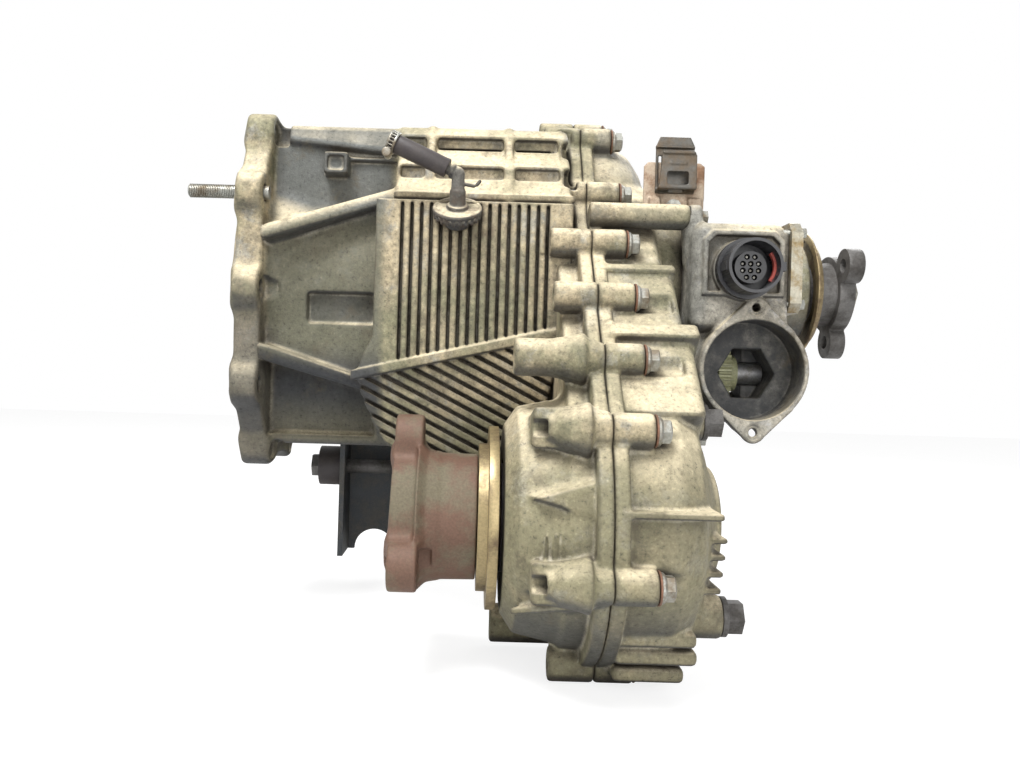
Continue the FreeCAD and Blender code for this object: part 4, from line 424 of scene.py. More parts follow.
def panels(cast):
    """Posts, border and pockets of the stepped panels over the fins."""
    for x, foot in POSTS:
        post = [(-96 + (foot - 44) * 0.7, foot), (-46, 113), (-40, 113), (-70, 60)]
        cast.add(plate("X", post, x - POST_HALF, x + POST_HALF, 1), 1.5)
    cast.add(plate("Y", [(BELL_END, 49), (240, 49), (240, 54), (BELL_END, 54)], -94, -80, 1), 2)
    for start, end in PANELS:
        cast.cut(block((start, -88, 67), (end, -70, 76)), 1)
        cast.cut(block((start, -66, 93), (end, -49, 102)), 1)


def front_ribs(cast):
    """Boss, web and slot of the bell, gussets and pockets along the seam, ribs of the drum."""
    cast.add(block((58, -62, 72), (76, -38, 88)), 2)
    cast.cut(block((61, -66, 75), (73, -58, 85), 1), 1)
    cast.add(plate("X", [(-50, 84), (-30, 84), (-30, 87), (-50, 87)], 74, 116, 0.8), 2)
    cast.cut(block((50, -86, -38), (99, -58.5, -16), 2), 1.5)
    for k, reach in GUSSETS:
        y, z = SEAM[k]
        gusset = [(y, z - 12), (y, z + 12), (y + reach, z + 6), (y + reach, z - 6)]
        cast.add(plate("X", gusset, 206, 246, 2), 4)
    for y, z in SEAM_POCKETS:
        cast.cut(block((233, y - 20, z), (243, y + 4, z + 14)), 1.5)
    cast.add(rod((196, FRONT_Y - 60, FRONT_Z - 44), (246, FRONT_Y - 72, FRONT_Z - 34), 2, 4), 4)
    for i in range(DRUM_RIBS):
        x = 204 + DRUM_RIB_PITCH * i
        cast.add(rod((x, FRONT_Y - 74, FRONT_Z - 14), (x, FRONT_Y - 76, FRONT_Z + 4), 1.1), 2)
    fin = [(206, FRONT_Z + 22), (246, FRONT_Z + 12), (246, FRONT_Z + 34)]
    cast.add(plate("Y", fin, FRONT_Y - 78, FRONT_Y - 40, 2), 5)


def front_rooms(cast):
    """Rooms and bores inside the front housing, and the holes of its seam and flange."""
    cast.cut(lathe(BELL_ROOM))
    cast.bores(INPUT_BORES)
    cast.cut(plate("X", inset(CASE, CASE_WALL), 127, 226, 1))
    cast.bores(SHIFT_BORES)
    stadium_cut(cast, CHAIN_ROOM, 243, PAST_SEAM)
    cast.bores(FRONT_BORES)
    for spot in SEAM:
        cast.bore(196, PAST_SEAM, BOLT_HOLE, *spot)
    for spot in FLANGE:
        cast.bore(-5, 24, FLANGE_HOLE, *spot)
        cast.cut(bar(FLANGE_BACK - 1, 30, spot, SPOT_FACE, ease=1), 1)


# -------------------- fins of the near wall

RIDGE_START, RIDGE_END = (90, -76), (236, -41)
# the slanting face: its Y at one height, and how far it falls back for each mm down
FACE_Y, FACE_Z, LEAN = -99, -72, 0.18
FINS = 16
FIN_PITCH, FIN_GAP = 6.7, 2.2
GROOVE_PITCH, GROOVE_WIDTH, GROOVE_DEPTH = 7.9, 2.3, 7
GROOVE_SLANT = math.radians(27)


def ridge_z(x):
    (ax, az), (bx, bz) = RIDGE_START, RIDGE_END
    return az + (x - ax) * (bz - az) / (bx - ax)


def leaning(points, back, ease):
    """A wall seen from the near side as an outline, its face leaning back as it goes down."""
    flat = np.array(points, float)

    def distance(x, y, z):
        side = outline_distance(x, z, points)
        face = (FACE_Y - LEAN * (z - FACE_Z) - y) / math.hypot(1, LEAN)
        return eased(side, np.maximum(face, y - back), ease)
    return (np.array([flat[:, 0].min(), FACE_Y - 2, flat[:, 1].min()]),
            np.array([flat[:, 0].max(), back, flat[:, 1].max()]), distance)


def groove(height):
    """One slanting groove of the leaning wall, open at both its ends."""
    def distance(x, y, z):
        slab = np.abs((z - height + (x - 160) * math.tan(GROOVE_SLANT)) * math.cos(GROOVE_SLANT))
        inside = (y - FACE_Y + LEAN * (z - FACE_Z)) / math.hypot(1, LEAN) - GROOVE_DEPTH
        under = z - ridge_z(x) + 3
        return np.maximum(np.maximum(slab - GROOVE_WIDTH / 2, inside), under)
    return np.array([80, -112, -150]), np.array([226, -70, -36]), distance


def fin_wall():
    """Upright fins on the near wall, the ridge under them, and the slanting fins of the slope."""
    cast = Cast((82, -110, -140), (242, -58, 54), SMALL_STEP)
    upright = [(102, 47), (238, 47), (238, -38), (92, -72), (96, -60), (102, -48)]
    slope = [(90, -72), (236, -38), (222, -100), (206, -136), (130, -136), (113, -124), (103, -108),
             (95, -90)]
    cast.add(plate("Y", upright, -101, -84), 1)
    cast.add(leaning(slope, -60, 2), 3)
    for i in range(FINS):
        x = 119 + FIN_PITCH * i
        cast.cut(block((x, -108, ridge_z(x) + 5), (x + FIN_GAP, -92.5, 45), 0.6), 0.6)
    for i in range(FINS):
        cast.cut(groove(-37 - GROOVE_PITCH * i), 0.8)
    cast.add(plate("Y", [(88, -79), (236, -44), (238, -37), (88, -72)], -104, -82), 1.5)
    cast.cut(block((216, -112, 8), (219, -100, 12), 1), 1)
    return cast.piece("fin_wall", 0.55)


# -------------------- rear housing

BULGE_DOME = [(250, 0), (250, 84), (270, 84), (281, 81), (292, 74), (301, 62), (306, 48), (308, 36), (308, 0)]
REAR_NECK = [(250, 0), (250, 80), (310, 77), (318, 75), (325, 70), (332, 62), (338, 52), (346, 46.5),
             (356, 44.5), (425, 42), (425, 0)]
FRONT_DOME = [(250, 0), (250, 80), (288, 79), (296, 76), (302, 70), (310, 57), (314, 44), (318, 37),
              (322, 35), (322, 0)]
# ledges of the near wall: share of the shafts' line where each starts and ends, height, reach
LEDGES = [(-0.05, 0.36, 80, 300), (0.36, 0.64, 84, 305), (0.64, 0.92, 83, 309)]
# ribs across the ledges: share where each starts and ends, height at either, reach
CROSS_RIBS = [(0.60, 0.66, 88, 90, 312), (0.33, 0.37, 86, 88, 306)]
TAIL_FINS, TAIL_PITCH = 4, 9.5
# bands under the sump: lowest Z and reach
SUMP_BANDS = [(-226, 304), (-238, 306), (-250, 300)]
REAR_BORES = {"clutch": (280, 328, 63), "rear bearing": (320, 350, 37.6), "neck": (332, 425, 22.6),
              "rear seal": (415, 430, 30.6), "tail bearing": (285, 314, 31.6, *FRONT),
              "selector": (246, 360, 8.6, *CAM)}


def rear_housing():
    """Cover of the chain room with a dome over each shaft, the rear neck, ledges, ribs and bands."""
    cast = Cast((246, -258, -262), (428, 139, 144), BIG_STEP)
    stadium(cast, 79, SEAM_X, 292, 5, 4)
    stadium(cast, 71, SEAM_X, 304, 5, 6)
    cast.add(lathe(BULGE_DOME, *BULGE), 5)
    cast.add(lathe(REAR_NECK), 5)
    cast.add(lathe(FRONT_DOME, *FRONT), 5)
    cast.add(bar(SEAM_X, 318, CAM, 14), 6)
    for spot in SEAM:
        cast.add(bar(SEAM_X, BOLT_SEAT, spot, SEAM_BOSS), 6)
    for spot in ACTUATOR_SCREWS:
        cast.add(bar(SEAM_X, ACTUATOR_FOOT, spot, SCREW_BOSS), 6)
    for start, end, out, reach in LEDGES:
        ledge = [flank(start, out), flank(end, out), flank(end, 20), flank(start, 20)]
        cast.add(plate("X", ledge, 252, reach, 7), 2.5)
    rear_ribs(cast)
    rim(cast, SEAM_X, SEAM_X + LIP)
    rear_rooms(cast)
    cast.blur()
    return cast.piece("rear_casting")


def rear_ribs(cast):
    """Ribs, tail fins, sump bands, bosses and gussets of the rear housing."""
    near = FRONT_Y - 80
    cast.add(block((254, near - 8, FRONT_Z + 14), (309, near + 40, FRONT_Z + 18), 1.2), 2)
    for start, end, low, high, reach in CROSS_RIBS:
        rib = [flank(start, low), flank(end, high), flank(end, 40), flank(start, 40)]
        cast.add(plate("X", rib, 254, reach, 2), 3)
    for i in range(TAIL_FINS):
        z = FRONT_Z - 3 - TAIL_PITCH * i
        cast.add(block((298, FRONT_Y - 60, z), (319 - i, FRONT_Y + 20, z + 3.6)), 2)
    for i, (low, reach) in enumerate(SUMP_BANDS):
        cast.add(block((258, FRONT_Y - 56 + 6 * i, low), (reach, FRONT_Y + 34, low + 9), 3), 3)
    for spot in OIL_PLUGS:
        cast.add(bar(300, 324, spot, PLUG_BOSS), 4)
    cast.add(rod((BRACKET_X, -39.5, BRACKET_Z), (BRACKET_X, -63.5, BRACKET_Z), 8), 4)
    for degrees in (60, 88, 116, 150):
        cast.add(rod((262, *around(82, degrees, *BULGE)), (300, *around(52, degrees, *BULGE)), 3.2), 4)
    for y, z in SEAM[:5]:
        cast.add(plate("X", [(y, z - 4), (y, z + 4), (y + 22, z + 3), (y + 22, z - 3)], 256, 282, 2), 4)


def rear_rooms(cast):
    """Chain room, bores, and the holes of everything fitted on."""
    stadium_cut(cast, CHAIN_ROOM, 246, 292)
    cast.bores(REAR_BORES)
    for spot in SEAM:
        cast.bore(246, 330, BOLT_HOLE, *spot)
        cast.cut(bar(BOLT_SEAT, 300, spot, 9.3, ease=0.5))
    for spot in ACTUATOR_SCREWS:
        cast.bore(298, 324, 3.6, *spot)
    cast.cut(rod((BRACKET_X, -70, BRACKET_Z), (BRACKET_X, -48, BRACKET_Z), 3.6, ease=SHARP))
    for spot in OIL_PLUGS:
        cast.bore(300, 326, PLUG_HOLE, *spot)


# -------------------- actuator

def actuator():
    """Die-cast selector housing: rounded block, raised frame, motor seat with its eared plate."""
    cast = Cast((314, -116, -124), (406, -38, 54), SMALL_STEP)
    cast.add(block((ACTUATOR_FOOT, -106, -38), (386, -46, 37), 9), 1)
    cast.add(bar(ACTUATOR_FOOT, 386, CAM, 30, ease=4), 6)
    cast.add(block((322, -96, -100), (384, -50, -30), 6), 4)
    cast.add(rod((SEAT_X, -109, SEAT_Z), (SEAT_X, -60, SEAT_Z), SEAT_WALL, ease=1.2), 4)
    cast.add(plate("Y", seat_plate(), -110, -101, 1), 1.5)
    for z in (SEAT_Z + EAR_OUT, SEAT_Z - EAR_OUT):
        cast.add(rod((SEAT_X, -110, z), (SEAT_X, -101, z), EAR, ease=1), 1)
    border = [(326, -14), (326, 24), (333, 31), (375, 31), (382, 24), (382, -14)]
    cast.add(plate("Y", border, -109.5, -96, 2), 2)
    field = [(330, -11), (330, 22), (335, 27), (373, 27), (378, 22), (378, -11)]
    cast.cut(plate("Y", field, -114, -105, 1), 1.5)
    cast.add(rod((SOCKET_X, -109.5, SOCKET_Z), (SOCKET_X, -98, SOCKET_Z), 21), 2)
    for y, z in ACTUATOR_SCREWS:
        cast.add(bar(ACTUATOR_FOOT, 328, (y, z), SCREW_BOSS), 6)
        cast.add(rod((ACTUATOR_FOOT, y, z), (326, (y - 74) / 2, (z - 20) / 2), 6), 6)
    for x in (326, 384):
        cast.add(block((x - 2, -104, -34), (x + 2, -60, 30)), 3)
    actuator_rooms(cast)
    return cast.piece("actuator_casting", 0.6)


def seat_plate():
    """Corners of the plate whose straight sides touch the seat's wall and both ears."""
    lean = (SEAT_WALL - EAR) / EAR_OUT
    wide = math.sqrt(1 - lean * lean)
    corners = []
    for a, b in ((1, 1), (1, -1), (-1, -1), (-1, 1)):
        tip = (SEAT_X + a * EAR * wide, SEAT_Z + b * (EAR_OUT + EAR * lean))
        root = (SEAT_X + a * SEAT_WALL * wide, SEAT_Z + b * SEAT_WALL * lean)
        corners += [tip, root] if a * b > 0 else [root, tip]
    return corners


def actuator_rooms(cast):
    """Motor seat with its hexagonal opening, worm wheel's room, bores of cam, socket and screws."""
    cast.cut(rod((SEAT_X, -114, SEAT_Z), (SEAT_X, -84, SEAT_Z), SEAT_BORE, ease=SHARP))
    hexagon = [around(20, 60 * i, SEAT_X + 2, SEAT_Z - 2) for i in range(6)]
    cast.cut(plate("Y", hexagon, -88, -60, 0.2))
    cast.bore(344, 368, 24.5, *CAM)
    cast.bore(318, 382.5, 8.4, *CAM)
    cast.cut(rod((SOCKET_X, -114, SOCKET_Z), (SOCKET_X, -96, SOCKET_Z), 12, ease=SHARP))
    for z in (SEAT_Z + EAR_OUT, SEAT_Z - EAR_OUT):
        cast.cut(rod((SEAT_X, -112, z), (SEAT_X, -94, z), 2.8, ease=SHARP))
        cast.cut(rod((SEAT_X, -112, z), (SEAT_X, -109.3, z), 5, ease=SHARP))
    for spot in ACTUATOR_SCREWS:
        cast.bore(318, 340, 3.4, *spot)
        cast.bore(328, 392, 6.6, *spot)


# -------------------- small cast and pressed pieces

def vent_cap():
    """Vent cap: tilted disc with a ribbed rim on a short neck, and its elbow."""
    cast = Cast((120, -124, 14), (182, -86, 76), 0.7)
    lean = math.radians(36)
    tilt = np.array((0, -math.sin(lean), math.cos(lean)))
    centre = np.array((158.0, -106, 40))
    cap, ribs = 15.6, 22

    def disc(low, high, r, ease):
        return rod(centre + low * tilt, centre + high * tilt, r, ease=ease)
    cast.add(rod(centre - 13 * tilt, centre, 8, 12), 1)
    cast.add(disc(-5, -1, cap, 0.5), 1)
    for i in range(ribs):
        a = 2 * math.pi * i / ribs
        side = np.array((math.cos(a), 0, 0)) + math.sin(a) * np.array((0, tilt[2], -tilt[1]))
        cast.add(rod(centre - 6 * tilt + cap * side, centre + cap * side, 1.1, ease=0.4), 0.6)
    cast.add(disc(-1.5, 1.5, 17, 1), 0.6)
    cast.cut(disc(0.9, 4, 14.6, 0.3), 0.5)
    cast.add(disc(0, 3.5, 7.5, 1), 0.8)
    cast.add(rod(centre, (158, -111, 52), 5.4), 1)
    cast.add(rod((158, -111, 50), KNEE, 4.4, ease=0.5), 2)
    cast.add(ball(KNEE, 4.3), 1)
    cast.add(rod(KNEE, KNEE + 22 * HOSE_RUN, 3.9, ease=0.5), 2)
    cast.add(rod(KNEE + 3 * HOSE_RUN, KNEE + 5.5 * HOSE_RUN, 5.2, ease=0.8), 0.5)
    cast.add(rod((158, -111, 57), (170, -112, 54.5), 1.4), 1)
    cast.add(rod((170, -112, 54.5), (173.5, -112, 59), 1.3), 0.8)
    return cast.piece("vent_cap", 0.5)


def hose_band():
    """Perforated band with its worm-screw box."""
    cast = Cast((98, -126, 70), (124, -96, 98), 0.45)
    start = KNEE + 46 * HOSE_RUN
    up = np.array((HOSE_RUN[2], 0, -HOSE_RUN[0]))
    holes = 20
    cast.add(rod(start, start + 6 * HOSE_RUN, 7.9, ease=0.3), 0.3)
    cast.cut(rod(start - 2 * HOSE_RUN, start + 8 * HOSE_RUN, 6.6, ease=SHARP), 0.2)
    for i in range(holes):
        a = 2 * math.pi * i / holes
        side = start + 7.5 * (math.cos(a) * up + math.sin(a) * np.array((0, 1, 0)))
        cast.cut(rod(side + 1.6 * HOSE_RUN, side + 4.4 * HOSE_RUN, 0.75, ease=0.3), 0.2)
    box = start + 3 * HOSE_RUN - 9 * up
    cast.add(rod(box - (0, 6, 0), box + (0, 5, 0), 2.6, ease=0.6), 0.5)
    cast.add(rod(box - (0, 8, 0), box - (0, 6, 0), 3.2, ease=0.6), 0.3)
    return cast.piece("hose_band", 0.5)


def clip():
    """Bent spring clip: chamfered back leaf, windowed front leaf, curved foot."""
    cast = Cast((296, -80, 58), (332, -62, 108), 0.5)
    back = [(300, 63), (300, 97), (303, 104), (325, 104), (328, 98), (328, 63)]
    front = [(301, 66), (303, 89), (306, 92), (325, 92), (328, 89), (328, 66)]
    cast.add(plate("Y", back, -67.7, -66.1, 0.4), 0.5)
    cast.add(block((300, -69.4, 95.5), (328, -66.4, 97.3), 0.6), 1)
    cast.cut(block((302, -70, 70), (304, -64, 90), 0.5), 0.3)
    cast.add(plate("Y", front, -76.6, -75, 0.4), 0.5)
    cast.add(rod((303, -76.6, 90.5), (327, -76.6, 90.5), 1.3), 1)
    cast.add(block((300.5, -76.4, 64.4), (328, -66.5, 66.2), 0.6), 1.5)
    cast.cut(block((307, -79, 68), (322, -73, 77), 1.2), 0.3)
    cast.cut(block((309, -74, 62), (320, -68, 68), 0.8), 0.3)
    cast.add(rod((308, -76, 83), (321, -76, 83), 1.2), 1)
    return cast.piece("spring_clip", 0.5)


def clip_bracket():
    """Pressed bracket: rounded plate with a curled lower tab round the screw."""
    cast = Cast((288, -74, 42), (342, -58, 92), 0.7)
    sheet = [(292, 50), (292, 83), (295, 86), (333, 86), (336, 83), (336, 60), (330, 46), (298, 46)]
    cast.add(plate("Y", sheet, -65.9, -63.6, 0.6), 0.5)
    cast.add(rod((299, -66.4, 50), (331, -66.4, 50), 3.2), 3)
    cast.add(block((296, -68.5, 50), (334, -65, 60), 1.2), 2)
    cast.cut(block((304, -70, 44), (324, -66, 62), 2), 1)
    cast.add(block((332, -66, 48), (336, -60.5, 84), 0.8), 1)
    cast.cut(rod((BRACKET_X, -72, BRACKET_Z), (BRACKET_X, -58, BRACKET_Z), 3.5, ease=SHARP), 0.2)
    return cast.piece("clip_bracket", 0.6)


def front_coupling():
    """Forged three-lobe coupling: wavy plate flowing into a coned hub."""
    cast = Cast((121, -222, -232), (203, -82, -92), 0.9)
    face, back = 125, 142.5
    lobes, circle = (90, 210, 330), 48
    spots = [around(circle, degrees, *FRONT) for degrees in lobes]
    corners = [around(circle + 2, degrees, *FRONT) for degrees in lobes]
    hub = [(face, 0), (face, 40), (176.5, 39), (176.5, 22), (192.5, 22), (192.5, 0)]
    cast.add(lathe(hub, *FRONT), 2)
    cast.add(plate("X", corners, face, back), 6)
    for spot in spots:
        cast.add(bar(face, back, spot, 15, ease=1.8), 9)
    cast.add(lathe([(140, 0), (140, 47), (146, 41), (152, 39), (152, 0)], *FRONT), 4)
    cast.cut(bar(120, 139, FRONT, 22.3, ease=0.3), 0.5)
    cast.cut(bar(120, 200, FRONT, 16.4, ease=SHARP), 0.3)
    for spot in spots:
        cast.cut(bar(118, 150, spot, 5.25, ease=SHARP), 0.8)
        cast.cut(bar(142.2, 150, spot, 10.5, ease=0.5), 0.8)
    return cast.piece("front_coupling", 0.7)


# -------------------- bolts, washers, stud and seal

CORNERS = 24


def lofted(name, rings, places):
    """A closed piece through rings of equal count, repeated at each place."""
    points, faces = [], []
    count = len(rings[0])
    for place in places:
        base = len(points)
        points += [[(corner[i] + place[i]) * MM for i in range(3)] for ring in rings for corner in ring]
        for k in range(len(rings) - 1):
            for j in range(count):
                a, b = base + k * count + j, base + k * count + (j + 1) % count
                faces.append((a, b, b + count, a + count))
        faces.append([base + j for j in reversed(range(count))])
        faces.append([base + (len(rings) - 1) * count + j for j in range(count)])
    mesh = bpy.data.meshes.new(name)
    mesh.from_pydata(points, [], faces)
    mesh.update()
    return linked(name, mesh)


def hexagon_ring(x, apothem, round_share=0.0):
    """A ring of a hexagon bar at station x, drawn towards its inner circle by round_share."""
    ring = []
    for j in range(CORNERS):
        a = 2 * math.pi * j / CORNERS
        corner = apothem / math.cos((a % (math.pi / 3)) - math.pi / 6)
        r = corner * (1 - round_share) + apothem * 0.97 * round_share
        ring.append((x, r * math.cos(a), r * math.sin(a)))
    return ring


def circle_ring(x, r):
    return [(x, *around(r, 360 * j / CORNERS)) for j in range(CORNERS)]


def hex_bolts(name, places, apothem, height, flange, shank, length):
    """Bolts with a flanged hexagon head that stands at each place, their shanks towards -X."""
    rings = [circle_ring(-length, shank), circle_ring(-0.05, shank), circle_ring(0.05, flange),
             circle_ring(1.3, flange), circle_ring(2.4, flange * 0.9), hexagon_ring(2.8, apothem),
             hexagon_ring(height - 1.0, apothem), hexagon_ring(height - 0.2, apothem * 0.94, 0.8),
             circle_ring(height, apothem * 0.82), circle_ring(height - 0.6, apothem * 0.66),
             circle_ring(height - 0.6, apothem * 0.3)]
    return lofted(name, rings, places)


def washers(name, places, inner, outer, thick):
    edge = 0.3
    rings = [circle_ring(0, inner), circle_ring(0, outer - edge), circle_ring(edge, outer),
             circle_ring(thick - edge, outer), circle_ring(thick, outer - edge), circle_ring(thick, inner)]
    return lofted(name, rings, places)


def threaded_stud():
    """Stud with its thread, a relieved neck at the flange face and a plain root."""
    crest, root, neck, shank, pitch = 4.95, 4.25, 4.4, 5, 1.25
    rings = [circle_ring(-36, 3.8), circle_ring(-35.2, 4.7)]
    for i in range(27):
        x = -35 + pitch * i
        rings += [circle_ring(x, crest), circle_ring(x + 0.3, crest), circle_ring(x + 0.65, root),
                  circle_ring(x + 0.95, root)]
    rings += [circle_ring(-0.5, neck), circle_ring(5, neck), circle_ring(5, shank), circle_ring(22, shank)]
    return lofted("threaded_stud", rings, [(0, *STUD)])


def seal_arc():
    """Red seal lip that shows inside the socket."""
    inner, outer, front, back = 14.2, 15.8, -127, -124
    half_angle, count = 38, 24
    points, faces = [], []
    for i in range(count + 1):
        for r, y in ((inner, back), (outer, back), (outer, front), (inner, front)):
            x, z = around(r, -half_angle + 2 * half_angle * i / count, SOCKET_X, SOCKET_Z)
            points.append((x * MM, y * MM, z * MM))
    for i in range(count):
        for j in range(4):
            a, b = 4 * i + j, 4 * i + (j + 1) % 4
            faces.append((a, b, b + 4, a + 4))
    faces += [(3, 2, 1, 0), (4 * count, 4 * count + 1, 4 * count + 2, 4 * count + 3)]
    mesh = bpy.data.meshes.new("socket_seal")
    mesh.from_pydata(points, [], faces)
    return linked("socket_seal", mesh)


# -------------------- shader helpers

def material(name):
    made = bpy.data.materials.new(name)
    made.use_nodes = True
    return made, made.node_tree, made.node_tree.nodes["Principled BSDF"]


def coordinates(tree):
    coords = tree.nodes.get("coords") or tree.nodes.new("ShaderNodeTexCoord")
    coords.name = "coords"
    return coords.outputs["Object"]


def noise(tree, scale, detail, rough):
    made = tree.nodes.new("ShaderNodeTexNoise")
    made.inputs["Scale"].default_value = scale
    made.inputs["Detail"].default_value = detail
    made.inputs["Roughness"].default_value = rough
    tree.links.new(coordinates(tree), made.inputs["Vector"])
    return made.outputs[0]


def ramp(tree, source, stops):
    """A grey value read off a source between stops."""
    made = tree.nodes.new("ShaderNodeValToRGB")
    while len(made.color_ramp.elements) < len(stops):
        made.color_ramp.elements.new(0.5)
    for element, (at, value) in zip(made.color_ramp.elements, stops):
        element.position = at
        element.color = (value, value, value, 1)
    tree.links.new(source, made.inputs[0])
    return made.outputs[0]


def mix(tree, share, a, b, kind="MIX"):
    made = tree.nodes.new("ShaderNodeMix")
    made.data_type = "RGBA"
    made.blend_type = kind
    for value, socket in ((share, made.inputs[0]), (a, made.inputs[6]), (b, made.inputs[7])):
        if isinstance(value, bpy.types.NodeSocket):
            tree.links.new(value, socket)
        elif isinstance(value, tuple):
            socket.default_value = (*value, 1)
        else:
            socket.default_value = value
    return made.outputs[2]


def bump(tree, shader, height, strength, distance):
    made = tree.nodes.new("ShaderNodeBump")
    made.inputs["Strength"].default_value = strength
    made.inputs["Distance"].default_value = distance
    tree.links.new(height, made.inputs["Height"])
    tree.links.new(made.outputs[0], shader.inputs["Normal"])


def ranged(tree, source, start, end, low=0.0, high=1.0):
    """A smooth step of a value between two limits."""
    made = tree.nodes.new("ShaderNodeMapRange")
    made.interpolation_type = "SMOOTHSTEP"
    made.inputs["From Min"].default_value = start
    made.inputs["From Max"].default_value = end
    made.inputs["To Min"].default_value = low
    made.inputs["To Max"].default_value = high
    tree.links.new(source, made.inputs["Value"])
    return made.outputs[0]


def product(tree, *values):
    result = values[0]
    for value in values[1:]:
        made = tree.nodes.new("ShaderNodeMath")
        made.operation = "MULTIPLY"
        tree.links.new(result, made.inputs[0])
        if isinstance(value, bpy.types.NodeSocket):
            tree.links.new(value, made.inputs[1])
        else:
            made.inputs[1].default_value = value
        result = made.outputs[0]
    return result


def parts_of(tree, vector):
    made = tree.nodes.new("ShaderNodeSeparateXYZ")
    tree.links.new(vector, made.inputs[0])
    return made.outputs


def zone(tree, place, *spans):
    """Share of a zone: each span names an axis, where the zone ends and where it is full (mm)."""
    return product(tree, *(ranged(tree, place["XYZ".index(axis)], end * MM, full * MM)
                           for axis, end, full in spans))


# -------------------- materials

# colour of painted shade: faces that look down, the bell's lower side and its slot
SHADE_SLATE = (0.030, 0.032, 0.036)
# colour of painted shade in corners, gaps and creases
CREASE_SHADE = (0.035, 0.028, 0.02)
# colour of dusty top faces, lightened further as painted light on them
DUST_AND_TOP_LIGHT = (0.66, 0.57, 0.39)
# colour of rubbed edges, also a painted highlight on them
WEAR_AND_HIGHLIGHT = (0.62, 0.57, 0.45)
OIL = (0.07, 0.045, 0.03)
STAIN = (0.085, 0.07, 0.045)
BARE_SEAT = (0.035, 0.036, 0.038)
BELL_OLIVE = (0.10, 0.098, 0.068)
BELL_GREY = (0.08, 0.085, 0.083)
DOME_GREY = (0.17, 0.168, 0.15)
REAR_OLIVE = (0.19, 0.18, 0.125)
TAIL_SAND = (0.20, 0.18, 0.105)
FOOT_GREY = (0.10, 0.09, 0.075)


def corner_shade_share(tree):
    # painted shade: ambient occlusion darkens corners, gaps and recesses
    corner = tree.nodes.new("ShaderNodeAmbientOcclusion")
    corner.samples = 6
    corner.inputs["Distance"].default_value = 0.014
    return ranged(tree, corner.outputs["AO"], 0.85, 0.35)


def seat_share(tree, place, patches):
    """Share of the bare, dark bore of the motor seat."""
    flat = tree.nodes.new("ShaderNodeCombineXYZ")
    tree.links.new(place[0], flat.inputs[0])
    tree.links.new(place[2], flat.inputs[2])
    away = tree.nodes.new("ShaderNodeVectorMath")
    away.operation = "DISTANCE"
    away.inputs[1].default_value = (SEAT_X * MM, 0, SEAT_Z * MM)
    tree.links.new(flat.outputs[0], away.inputs[0])
    return product(tree, ranged(tree, away.outputs["Value"], 0.0352, 0.0345),
                   zone(tree, place, ("Y", -110, -107)), ranged(tree, patches, 0.4, 0.62, 0.96, 0.68))


def housing_zones(tree, place, patches, colour):
    """Zones of the two big castings: bell with painted shade on its lower side and in its slot, rear dome and
    cover, tail, flange foot.
    """
    inside = zone(tree, place, ("X", 112, 104), ("X", 19, 23))
    # painted shade in the slot's recess, a dark patch over the cut
    slot = zone(tree, place, ("X", 47, 52), ("X", 102, 97), ("Z", -39, -34), ("Z", -15, -18), ("Y", -45, -50))
    upper = product(tree, inside, zone(tree, place, ("Z", 30, 52)), 0.85)
    # painted shade on the bell's lower side
    lower = product(tree, inside, zone(tree, place, ("Z", -50, -78)), 0.92)
    dome = zone(tree, place, ("X", 258, 266), ("Y", -50, -10))
    cover = product(tree, zone(tree, place, ("X", 262, 285)), ranged(tree, patches, 0.35, 0.6), 0.6)
    tail = zone(tree, place, ("Z", -85, -130))
    foot = zone(tree, place, ("X", 24, 19), ("Z", 10, -50))
    for share, tint in ((product(tree, inside, 0.85), BELL_OLIVE), (upper, BELL_GREY), (lower, SHADE_SLATE),
                        (product(tree, slot, 0.5), SHADE_SLATE), (product(tree, dome, 0.85), DOME_GREY),
                        (cover, REAR_OLIVE), (product(tree, tail, 0.55), TAIL_SAND),
                        (product(tree, foot, 0.75), FOOT_GREY)):
        colour = mix(tree, share, colour, tint)
    return colour


